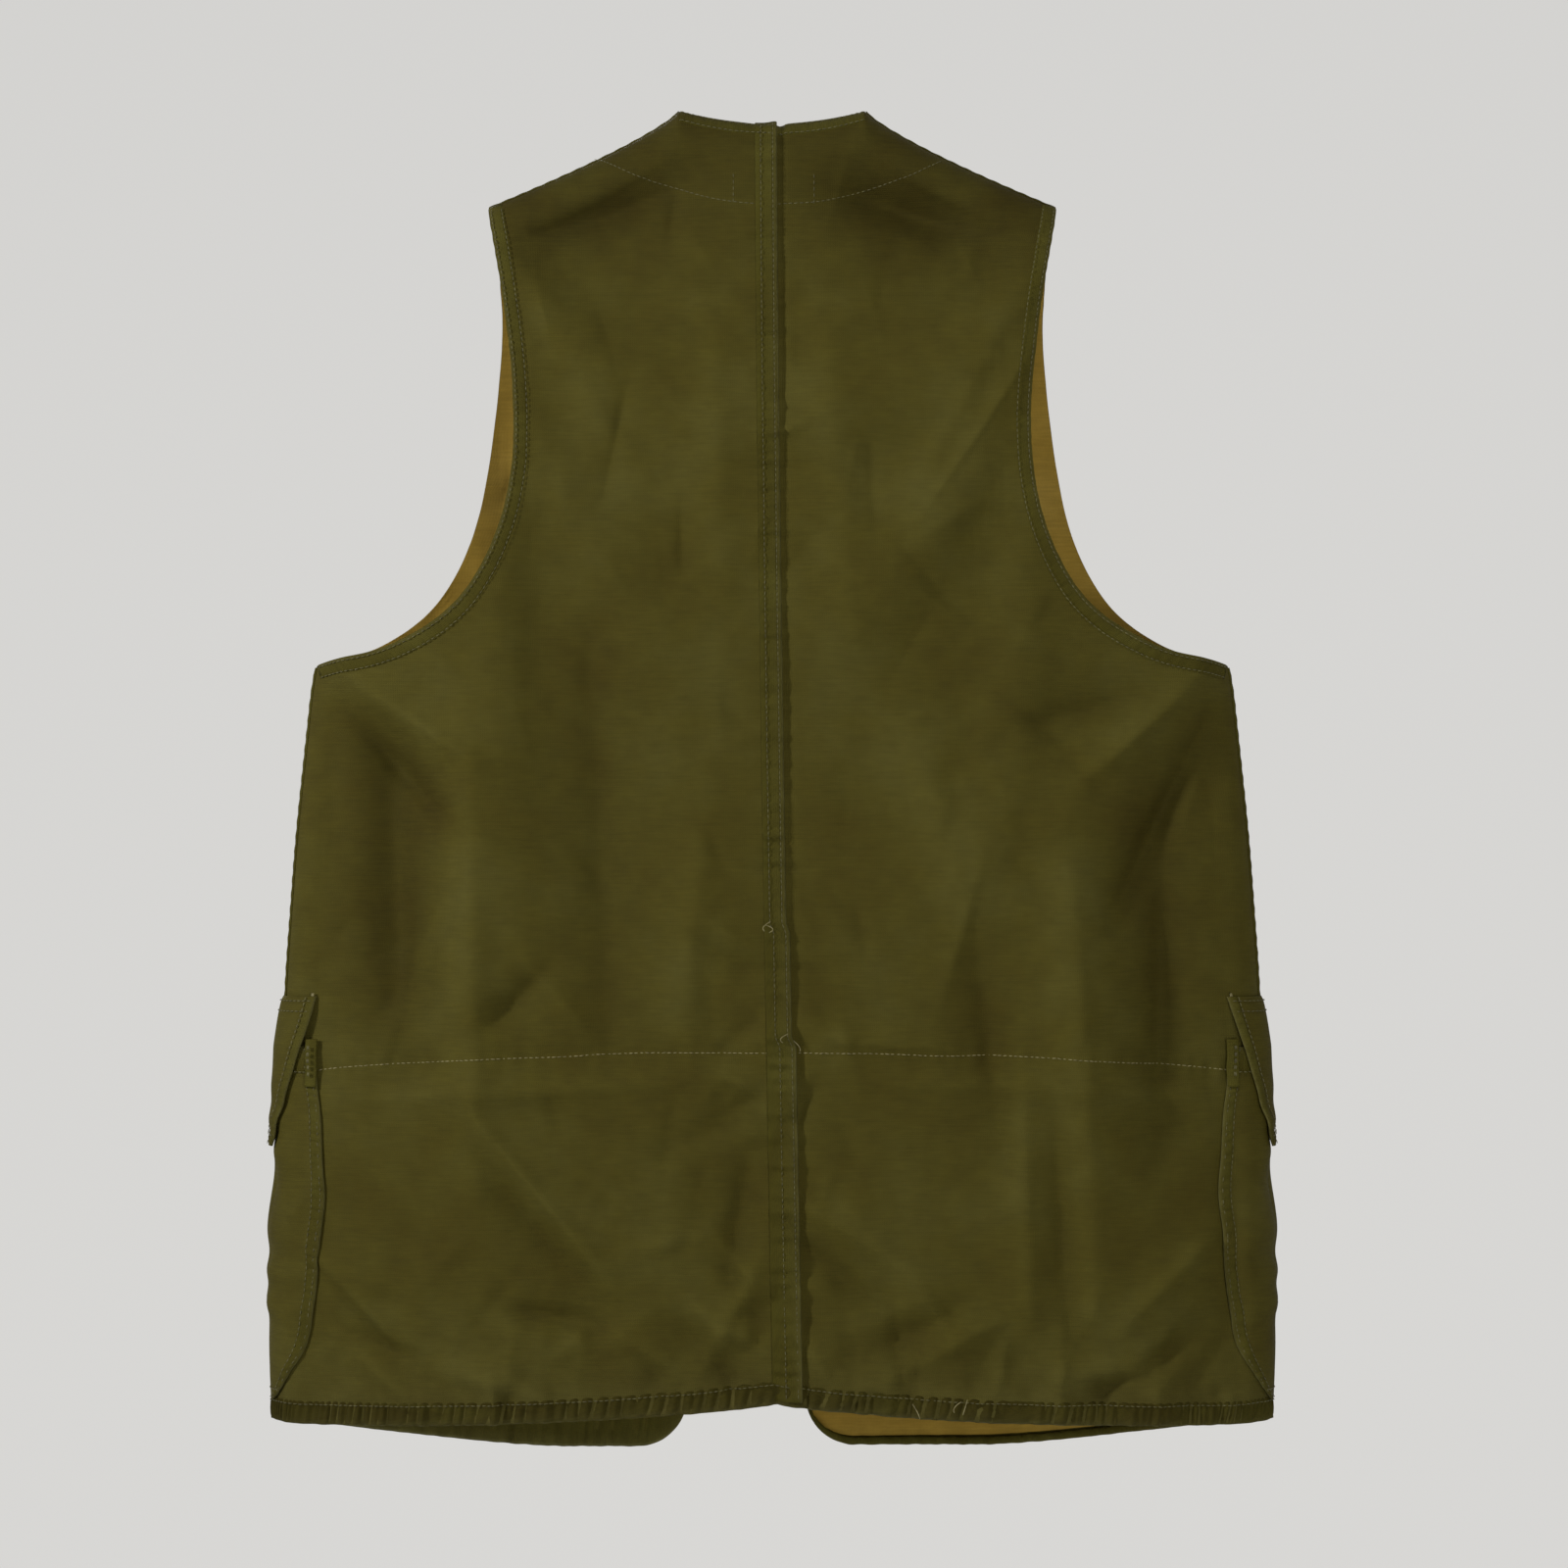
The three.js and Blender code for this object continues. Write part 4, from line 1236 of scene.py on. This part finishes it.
for side in SIDES:
    body = f"front_{side}"
    cloth_sheet(f"cloth_front_{side}", *FRONT_GRID, front_place(side, 0.0), olive_duck, body=body,
                crease=front_painted_light_and_shade(side), nodes=[f"front_panel_{side}", f"front_edge_{side}"],
                rests_on=[f"shoulder_seam_{side}"])
    cloth_sheet(f"lining_front_{side}", 70, 150, front_place(side, -0.0022, 0.99, 0.02, 0.995), tan_drill,
                body=body, slot="lining", nodes=[f"front_lining_{side}"],
                rests_on=[f"cloth_front_{side}"], thick=LINING_THICK)
    facing_end, hem_deep = FACING_END[side], HEM_DEEP[side]
    cloth_sheet(f"facing_front_{side}", 18, 150, front_place(side, -0.0034, 0.17, 0.012, facing_end),
                olive_duck, body=body, nodes=[f"front_edge_facing_{side}"],
                rests_on=[f"lining_front_{side}"], thick=LINING_THICK)
    band(f"band_front_edge_{side}", 330, free_edge_line(side, 0.0002), free_edge_line(side, 0.0080),
         olive_seam, body=body, thick=0.0022, pucker=0.0002, seed=31)
    band(f"band_front_hem_{side}", 330, front_hem_line(side, 0.0002, -0.0012),
         front_hem_line(side, hem_deep, -0.0012), olive_seam, body=body, thick=0.0056,
         pucker=0.00055, seed=41, nodes=[f"front_hem_facing_{side}"])
    band(f"band_front_armhole_{side}", 240, armhole_line(side, FRONT, 0.0003),
         armhole_line(side, FRONT, 0.0085), olive_seam, thick=0.0022, pucker=0.0002, seed=51)

# %% [markdown]
# ## Shoulder and side seams
# The shoulder seam is felled, so it stands up as a flat ridge along the top. The side seam is
# the same, and it disappears under the pocket.

# %% Shoulder and side seams
def shoulder_seam(side):
    def place(k, s):
        turn = 2 * math.pi * k
        x = mix(NECK_HALF + 0.0004, SHOULDER_HALF - 0.0004, s)
        top = shoulder_height(x)
        depth = half_depth(top) * np.sqrt(1 - np.minimum(0.98, x / tube_half(top)) ** 4)
        y = np.minimum(0.0052, 0.7 * depth) * np.cos(turn)
        sag = RIDGE_ROUND * (1 - np.sqrt(1 - (y / depth) ** 2))
        drawn = 0.0002 * np.sin(s * 85)
        z = top - sag + 0.0001 + (0.0011 + drawn) * np.sin(turn)
        points = np.stack([SIDES[side] * x, y, z], axis=1)
        return points, np.tile([0.0, 0.0, 1.0], (len(x), 1))
    piece = bent_grid(f"shoulder_seam_{side}", 12, 90, place, close=True)
    settle(piece, "root", olive_seam, [f"shoulder_tape_{side}"])


def side_seam(side):
    def place(k, s):
        turn = 2 * math.pi * k
        z = mix(UNDERARM[1] - 0.001, HEM_SIDE + 0.001, s)
        x, face = wrap(0.045 * np.cos(turn) + 1e-6, z, side)
        drawn = 0.0002 * np.sin(z * 700)
        return cloth_at(x, z, face, 0.0002 + (0.0010 + drawn) * np.sin(turn))
    piece = bent_grid(f"side_seam_{side}", 12, 200, place, close=True)
    settle(piece, "root", olive_seam, [f"side_seam_tape_{side}"])


for side in SIDES:
    shoulder_seam(side)
    side_seam(side)

# %% [markdown]
# ## Pockets
# A pouch stands off the front like half a bowl: it is sewn down at its sides and bottom and gapes
# a little at the mouth, and its rear end wraps round the side seam onto the back. Its mouth is
# hemmed. Thick cloth sags in the middle and is drawn in at its corners.

# %% Pouches
LOWER = dict(name="lower", front=-0.705, rear=0.24, top=-0.576, bottom=-0.794, depth=0.030,
             flap_top=-0.545, flap_long=0.088, flap_front=-0.715, flap_rear=0.223, slant=0.165,
             corner=0.0, droop=0.004, edge_share=0.035, grid=(130, 90))
CHEST = dict(name="chest", front=-0.755, rear=-0.44, top=-0.360, bottom=-0.478, depth=0.018,
             flap_top=-0.340, flap_long=0.052, flap_front=-0.765, flap_rear=-0.43, slant=0.0,
             corner=0.006, droop=0.0, edge_share=0.05, grid=(60, 56))
MOUTH_OPEN = 0.55
SIDE_SHARE = 0.14
FLAP_GAP = 0.0022


def pouch_rear(pocket, z):
    """How far back a pouch reaches: the lower ones are widest low down, with a round corner."""
    if pocket is CHEST:
        return np.full_like(z, pocket["rear"])
    down = clamp01((pocket["top"] - z) / (pocket["top"] - pocket["bottom"]))
    corner = clamp01((down - 0.76) / 0.24)
    wave = 0.003 * np.sin(z * 55) + 0.002 * np.sin(z * 130)
    rounded = 0.20 * (1 - np.sqrt(1 - corner ** 2))
    return 0.222 + 0.045 * np.sin(math.pi * clamp01(down / 0.9)) + wave - rounded


def pouch_out(pocket, way, z):
    across = clamp01((way - pocket["front"]) / (pouch_rear(pocket, z) - pocket["front"]))
    down = clamp01((pocket["top"] - z) / (pocket["top"] - pocket["bottom"]))
    round_off = np.sin(math.pi * across) ** 0.5
    at_side = np.where(way > -0.3, mix(1, SIDE_SHARE, clamp01((way + 0.3) / 0.3)), 1)
    full = np.where(down < 0.65, mix(MOUTH_OPEN, 1, down / 0.65),
                    np.cos(math.pi / 2 * clamp01((down - 0.65) / 0.35)))
    crease = 0.0012 * np.sin(way * 23 + z * 60) * np.sin(math.pi * down) * np.sin(math.pi * across)
    slack = np.sin(z * 210 + 2 * np.sin(z * 61) + way * 3) + 0.7 * np.sin(z * 118 + way * 5)
    crease = crease + 0.0011 * slack * np.exp(-((way - 0.06) / 0.14) ** 2) * np.sin(math.pi * down)
    return 0.0018 + pocket["depth"] * round_off * at_side * full + crease


def pouch(pocket, side):
    def place(u, v):
        z = mix(pocket["top"], pocket["bottom"], v)
        way = mix(pocket["front"], pouch_rear(pocket, z), u)
        x, face = wrap(way, z, side)
        return cloth_at(x, z, face, pouch_out(pocket, way, z))
    name = f"{pocket['name']}_pouch_{side}"
    cloth_sheet(name, *pocket["grid"], place, olive_duck,
                nodes=[f"{pocket['name']}_pocket_{side}"], rests_on=[f"cloth_front_{side}"],
                wear=lambda u, v: np.maximum(edge_wear(u, v), edge_wear(1 - u, v)))


def pouch_line(pocket, side, start, end, out=0.0):
    """A line on a pouch from one corner to another, each corner as shares across and down."""
    def path(s):
        across, down = mix(start[0], end[0], s), mix(start[1], end[1], s)
        z = mix(pocket["top"], pocket["bottom"], down)
        way = mix(pocket["front"], pouch_rear(pocket, z), across)
        x, face = wrap(way, z, side)
        return x, z, face, pouch_out(pocket, way, z) + out
    return path


for side in SIDES:
    for pocket in (LOWER, CHEST):
        pouch(pocket, side)
        rim = 0.016 / (pocket["top"] - pocket["bottom"])
        band(f"{pocket['name']}_mouth_{side}", pocket["grid"][0] + 20,
             pouch_line(pocket, side, (0, 0), (1, 0)), pouch_line(pocket, side, (0, rim), (1, rim)),
             olive_seam, thick=0.0024, pucker=0.00025, seed=61)
    band(f"lower_rear_edge_{side}", 200, pouch_line(LOWER, side, (1, 0), (1, 1)),
         pouch_line(LOWER, side, (0.965, 0), (0.965, 1)), olive_seam, thick=0.0022, pucker=0.00035, seed=63)

# %% [markdown]
# ## Flaps
# A flap is sewn down along its top and hangs over the mouth. The lower
# flaps reach round the side seam. Their rear edge slants
# forward, with a worn tack where it starts.

# %% Flaps
for pocket in (LOWER, CHEST):
    for side, sign in SIDES.items():
        start = Vector((sign * 0.2, -0.045, pocket["flap_top"] - 0.002))
        end = start - Vector((0, 0, pocket["flap_long"] * 0.42))
        if pocket is LOWER:
            start, end = Vector((sign * 0.2, 0.012, -0.546)), Vector((sign * 0.2, -0.040, -0.576))
        BLENDS[f"{pocket['name']}_flap_{side}"] = (start, end)


def flap_out(pocket, way, z):
    clear = pouch_out(pocket, way, z) + CLOTH_THICK + FLAP_GAP
    down = clamp01((pocket["flap_top"] - z) / (pocket["flap_top"] - pocket["top"]))
    return mix(0.0016, clear, down ** 0.6)


def flap_point(pocket, side, u, v):
    corner = pocket["corner"] * clamp01((np.abs(u - 0.5) - 0.42) / 0.08) ** 2
    way = mix(pocket["flap_front"], pocket["flap_rear"] - pocket["slant"] * v ** 1.25, u)
    z = pocket["flap_top"] - (pocket["flap_long"] - corner) * v
    z = z - pocket["droop"] * v * clamp01((u - 0.8) / 0.2)
    x, face = wrap(way, z, side)
    return x, z, face, flap_out(pocket, way, z)


def flap(pocket, side):
    body = f"{pocket['name']}_flap_{side}"

    def place(u, v):
        return cloth_at(*flap_point(pocket, side, u, v))
    cloth_sheet(f"{body}_cloth", pocket["grid"][0], 44, place, olive_duck, body=body, nodes=[body],
                rests_on=[f"{pocket['name']}_pouch_{side}"], thick=0.0014)

    def edge(u0, v0, u1, v1, out=0.0):
        def path(s):
            x, z, face, height = flap_point(pocket, side, mix(u0, u1, s), mix(v0, v1, s))
            return x, z, face, height + out
        return path
    wide = 0.006 / pocket["flap_long"]
    thin = pocket["edge_share"]
    for part, (a, b) in {
        "bottom": (edge(0, 1, 1, 1), edge(0, 1 - wide, 1, 1 - wide)),
        "front": (edge(0, 0, 0, 1), edge(thin, 0, thin, 1)),
        "rear": (edge(1, 0, 1, 1), edge(1 - thin, 0, 1 - thin, 1)),
    }.items():
        band(f"{body}_{part}", 110, a, b, olive_seam, body=body, thick=0.0022, pucker=0.0002, seed=71)
    rows = [edge(0, 1 - wide, 1, 1 - wide, 0.0012), edge(thin, 0, thin, 1, 0.0012),
            edge(1 - thin, 0, 1 - thin, 1, 0.0012), edge(0.01, 0.03, 0.99, 0.03, 0.0006),
            edge(0.01, 0.10, 0.99, 0.10, 0.0004)]
    stitch_rows(f"{body}_thread", rows, olive_thread, body=body)


for side in SIDES:
    for pocket in (LOWER, CHEST):
        flap(pocket, side)

# %% [markdown]
# ## Tabs and tacks
# A small tab strengthens the rear top corner of each lower pocket, where a hand pulls it open.
# A bar tack is a short run of thread sewn back and forth: here three short rows side by side.

# %% Tabs and bar tacks
TAB_WAYS, TAB_HEIGHTS = (0.196, 0.236), (-0.571, -0.600)


def tab(side):
    def place(k, s):
        turn = 2 * math.pi * k
        way = mix(*TAB_WAYS, 0.5 - 0.5 * np.cos(turn))
        z = mix(*TAB_HEIGHTS, s)
        x, face = wrap(way, z, side)
        lift = pouch_out(LOWER, way, np.minimum(z, LOWER["top"] - 0.001)) + 0.0012
        return cloth_at(x, z, face, lift + 0.0009 * np.sin(turn))
    piece = bent_grid(f"tab_{side}", 12, 24, place, close=True)
    settle(piece, "root", olive_seam, [f"pocket_tab_{side}"])


def tack(side, way, z, high, out):
    """Three rows of stitches side by side, downwards from a place on the side."""
    def line(offset):
        def path(s):
            here = z - high * s
            x, face = wrap(np.full_like(s, way + offset), here, side)
            return x, here, face, out
        return path
    return [line(0.0028 * i) for i in range(-1, 2)]


for side in SIDES:
    tab(side)
    stitch_rows(f"tab_thread_{side}", tack(side, 0.216, -0.574, 0.020, 0.0064), olive_thread)
    stitch_rows(f"tack_thread_{side}", tack(side, 0.212, -0.542, 0.009, 0.0022), tan_thread)

# %% [markdown]
# ## Turned and drawn shapes
# Two helpers for the small hard things: one spins a profile round its axis, as a lathe would,
# and the other makes an object of the result, set where it belongs.

# %% Helpers for small parts
def spun(profile, steps=40):
    bm = bmesh.new()
    verts = [bm.verts.new((r, 0, h)) for r, h in profile]
    edges = [bm.edges.new(pair) for pair in zip(verts, verts[1:])]
    bmesh.ops.spin(bm, geom=verts + edges, cent=(0, 0, 0), axis=(0, 0, 1), angle=2 * math.pi,
                   steps=steps, use_merge=True)
    bmesh.ops.remove_doubles(bm, verts=bm.verts, dist=1e-6)
    bmesh.ops.recalc_face_normals(bm, faces=bm.faces)
    return bm


def as_piece(name, bm, matrix):
    bmesh.ops.transform(bm, matrix=matrix, verts=bm.verts)
    for face in bm.faces:
        face.smooth = True
    mesh = bpy.data.meshes.new(name)
    bm.to_mesh(mesh)
    bm.free()
    return new_object(name, mesh)


# %% [markdown]
# ## Loose ends
# Old thread breaks and leaves short ends that curl away from the cloth. They stick out where the
# middle seam was mended and where the hem rubs. Each is a thin bent rod.

# %% Loose ends of thread
END_LONG, END_RADIUS = 0.009, 0.00026
LOOSE_ENDS = [      # x, z and curl
    (0.001, -0.498, 2.2), (0.004, -0.500, -2.6),
    (-0.0095, -0.566, 2.4), (-0.0125, -0.570, -1.8),
    (-0.085, -0.790, -1.2), (-0.114, -0.788, 2.0), (-0.118, -0.787, 0.7),
]


def loose_end(name, x, z, curl):
    bm = bmesh.new()
    steps = np.linspace(0, 1, 9)
    path_x = x + END_LONG * 0.5 * np.sin(curl * steps)
    path_z = z - END_LONG * steps * math.cos(0.4 * curl)
    points, _ = cloth_at(path_x, path_z, BACK, 0.0026 + 0.0030 * steps)
    rings = []
    for i, centre in enumerate(points):
        ahead = Vector(points[min(i + 1, 8)] - points[max(i - 1, 0)]).normalized()
        side = ahead.cross(Vector((0, 1, 0))).normalized()
        ring = [(side * math.cos(t) + ahead.cross(side) * math.sin(t)) * END_RADIUS
                for t in np.arange(5) * 2 * math.pi / 5]
        rings.append([bm.verts.new(Vector(centre) + r) for r in ring])
    for low, high in zip(rings, rings[1:]):
        for k in range(5):
            bm.faces.new((low[k], low[(k + 1) % 5], high[(k + 1) % 5], high[k]))
    bm.faces.new(rings[0][::-1])
    bm.faces.new(rings[-1])
    bmesh.ops.recalc_face_normals(bm, faces=bm.faces)
    settle(as_piece(name, bm, Matrix()), "root", tan_thread)


for number, (x, z, curl) in enumerate(LOOSE_ENDS):
    loose_end(f"loose_end_{number}", x, z, curl)

# %% [markdown]
# ## Stitch rows over the whole vest
# The middle seam and the edges are sewn twice, a few millimetres apart, and the hems once. The
# row along the top of the game pocket was sewn in a paler thread than the rest.

# %% Rows of thread
def raised(line, out, start=0.0, end=1.0):
    """The same line, or part of it, as far off the cloth as the thread lies there."""
    def row(s):
        return (*line(mix(start, end, s))[:3], out)
    return row


def back_rows():
    rows = [seam_row(0.0026, 0.0029), seam_row(0.0100, 0.0014)]
    rows += [raised(neck_line(0.0022), 0.0012), raised(neck_line(0.0080), 0.0010)]
    for side in SIDES:
        for inset, out in ((0.0020, 0.0012), (0.0086, 0.0011)):
            rows.append(raised(armhole_line(side, BACK, inset, 0.01, 0.99), out))
    return rows + [raised(back_hem_line(0.0118), 0.0014)]


def facing_row(s):
    """The facing's own stitching, which shows through as a crescent under the neck."""
    x = mix(-0.104, 0.110, s)
    z = -0.0605 + 0.030 * (np.abs(x) / 0.107) ** 1.9
    return x, z, BACK, 0.0


def label_row(x0):
    def row(s):
        return np.full_like(s, x0), mix(-0.041, -0.060, s), BACK, 0.0
    return row


def game_rows(s):
    x = mix(-0.287, 0.279, s)
    return x, game_row(x), BACK, 0.0


def front_rows(side):
    rows = [raised(free_edge_line(side, inset), out, 0.01, 0.99)
            for inset, out in ((0.0018, 0.0012), (0.0074, 0.0011))]
    return rows + [raised(front_hem_line(side, 0.0042), 0.0016)]


def pouch_rows(side):
    rows = []
    for pocket in (LOWER, CHEST):
        deep = pocket["top"] - pocket["bottom"]
        for inset in (0.010, 0.035):
            rows.append(pouch_line(pocket, side, (inset, 0), (inset, 0.99), out=0.0002))
            rows.append(pouch_line(pocket, side, (1 - inset, 0), (1 - inset, 0.99), out=0.0002))
        for up in (0.002, 0.008):
            rows.append(pouch_line(pocket, side, (0.01, 1 - up / deep), (0.99, 1 - up / deep), out=0.0002))
        rows.append(pouch_line(pocket, side, (0.01, 0.015 / deep), (0.99, 0.015 / deep), out=0.0013))
    return rows + [raised(armhole_line(side, FRONT, inset, 0.01, 0.99), 0.0012) for inset in (0.0020, 0.0080)]


stitch_rows("thread_back", back_rows() + [facing_row, label_row(0.0235), label_row(-0.0255)], olive_thread)
stitch_rows("thread_game_pocket", [game_rows], tan_thread)
for side in SIDES:
    stitch_rows(f"thread_front_{side}", front_rows(side), olive_thread, body=f"front_{side}")
    stitch_rows(f"thread_pockets_{side}", pouch_rows(side), olive_thread)

# %% [markdown]
# ## Buttons
# A button is a turned disc with a raised rim and four holes, held by crossed thread. The profile
# is spun round, the holes are cut with four small pegs, and the result is set on the front.

# %% Buttons
def out_of_front(node):
    """A matrix that sets a piece made along +Z on the back face of a CAD node, facing forward."""
    low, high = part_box(node)
    middle = (low + high) / 2
    return Matrix.Translation((middle.x, high.y, middle.z)) @ Matrix.Rotation(math.radians(90), 4, "X")


BUTTON_PROFILE = [(0, 0.0003), (0.0070, 0), (0.0092, 0.0007), (0.0095, 0.0016), (0.0090, 0.0027),
                  (0.0080, 0.0030), (0.0066, 0.0026), (0.0052, 0.0018), (0, 0.0017)]
HOLE_OUT, HOLE_RADIUS = 0.0019, 0.00085
CROSS_THREAD = (0.0042, 0.0011, 0.0007)
BUTTON_COUNT = 5


def button(number):
    node = f"front_button_{number}"
    piece = as_piece(f"button_{number}", spun(BUTTON_PROFILE), out_of_front(node))
    pegs = bmesh.new()
    for i in range(4):
        angle = math.pi / 4 + i * math.pi / 2
        at = Matrix.Translation((HOLE_OUT * math.cos(angle), HOLE_OUT * math.sin(angle), 0.001))
        bmesh.ops.create_cone(pegs, cap_ends=True, segments=12, radius1=HOLE_RADIUS,
                              radius2=HOLE_RADIUS, depth=0.006, matrix=at)
    cutter = as_piece("pegs", pegs, out_of_front(node))
    cut = piece.modifiers.new("holes", "BOOLEAN")
    cut.object = cutter
    cut.solver = "EXACT"
    graph = bpy.context.evaluated_depsgraph_get()
    holed = bpy.data.meshes.new_from_object(piece.evaluated_get(graph))
    piece.modifiers.clear()
    piece.data = holed
    bpy.data.objects.remove(cutter)
    settle(piece, "front_right", horn, [node])
    cross = bmesh.new()
    for angle in (math.pi / 4, -math.pi / 4):
        turn = Matrix.Rotation(angle, 4, "Z")
        lift = Matrix.Translation((0, 0, 0.0021))
        shape = Matrix.Diagonal((*CROSS_THREAD, 1))
        thread = bmesh.ops.create_cube(cross, size=1, matrix=lift @ turn @ shape)
        rim = {e for v in thread["verts"] for e in v.link_edges}
        bmesh.ops.bevel(cross, geom=list(rim), offset=0.0003, segments=2, profile=0.5,
                        affect="EDGES", material=-1)
    sewn = as_piece(f"button_thread_{number}", cross, out_of_front(node))
    settle(sewn, "front_right", tan_thread)


for number in range(1, BUTTON_COUNT + 1):
    button(number)

# %% [markdown]
# ## Buttonholes
# A buttonhole is a slit worked round with close thread. It is drawn as a flat ring of stitches,
# longer than wide, on the wearer's left front across from each button.

# %% Buttonholes
HOLE_INSET, HOLE_LONG, HOLE_STITCHES = 0.013, 0.020, 30
SLIT_HALF, RING_HALF = 0.0006, 0.0030


def upright_row(x, low, high, face, out):
    """A short row of stitches straight up the cloth."""
    def row(s):
        return np.full_like(s, x), mix(low, high, s), face, out
    return row


def buttonhole_rows():
    rows = []
    for number in range(1, BUTTON_COUNT + 1):
        low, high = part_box(f"front_button_{number}")
        z = (low.z + high.z) / 2
        start = float(free_edge_x(np.array([z]), "left")[0]) + HOLE_INSET
        for i in range(HOLE_STITCHES):
            x = start + HOLE_LONG * (i / (HOLE_STITCHES - 1))
            rows.append(upright_row(x, z - RING_HALF, z - SLIT_HALF, FRONT, 0.0003))
            rows.append(upright_row(x, z + SLIT_HALF, z + RING_HALF, FRONT, 0.0003))
    return rows


stitch_rows("buttonhole_thread", buttonhole_rows(), olive_thread, body="front_left")

# %% [markdown]
# ## Press studs
# The cap on a flap is a stamped dome with a rolled rim, and the post under it is a low mushroom
# that the cap's socket springs over. Both are turned shapes.

# %% Press studs
CAP_PROFILE = [(0, 0), (0.0071, 0), (0.0075, 0.0004), (0.0074, 0.0010), (0.0066, 0.0011), (0.0061, 0.0009),
               (0.0052, 0.0015), (0.0036, 0.0022), (0.0018, 0.0026), (0, 0.0027)]
POST_PROFILE = [(0, 0), (0.0043, 0), (0.0045, 0.0003), (0.0030, 0.0005), (0.0017, 0.0006), (0.0016, 0.0009),
                (0.0020, 0.0012), (0.0014, 0.0015), (0, 0.0016)]

for side in SIDES:
    for pocket in ("lower", "chest"):
        cap_node, post_node = f"{pocket}_flap_cap_{side}", f"{pocket}_pocket_stud_{side}"
        cap = as_piece(f"{pocket}_cap_{side}", spun(CAP_PROFILE), out_of_front(cap_node))
        settle(cap, f"{pocket}_flap_{side}", brass, [cap_node])
        post = as_piece(f"{pocket}_post_{side}", spun(POST_PROFILE, 24), out_of_front(post_node))
        settle(post, "root", brass, [post_node])
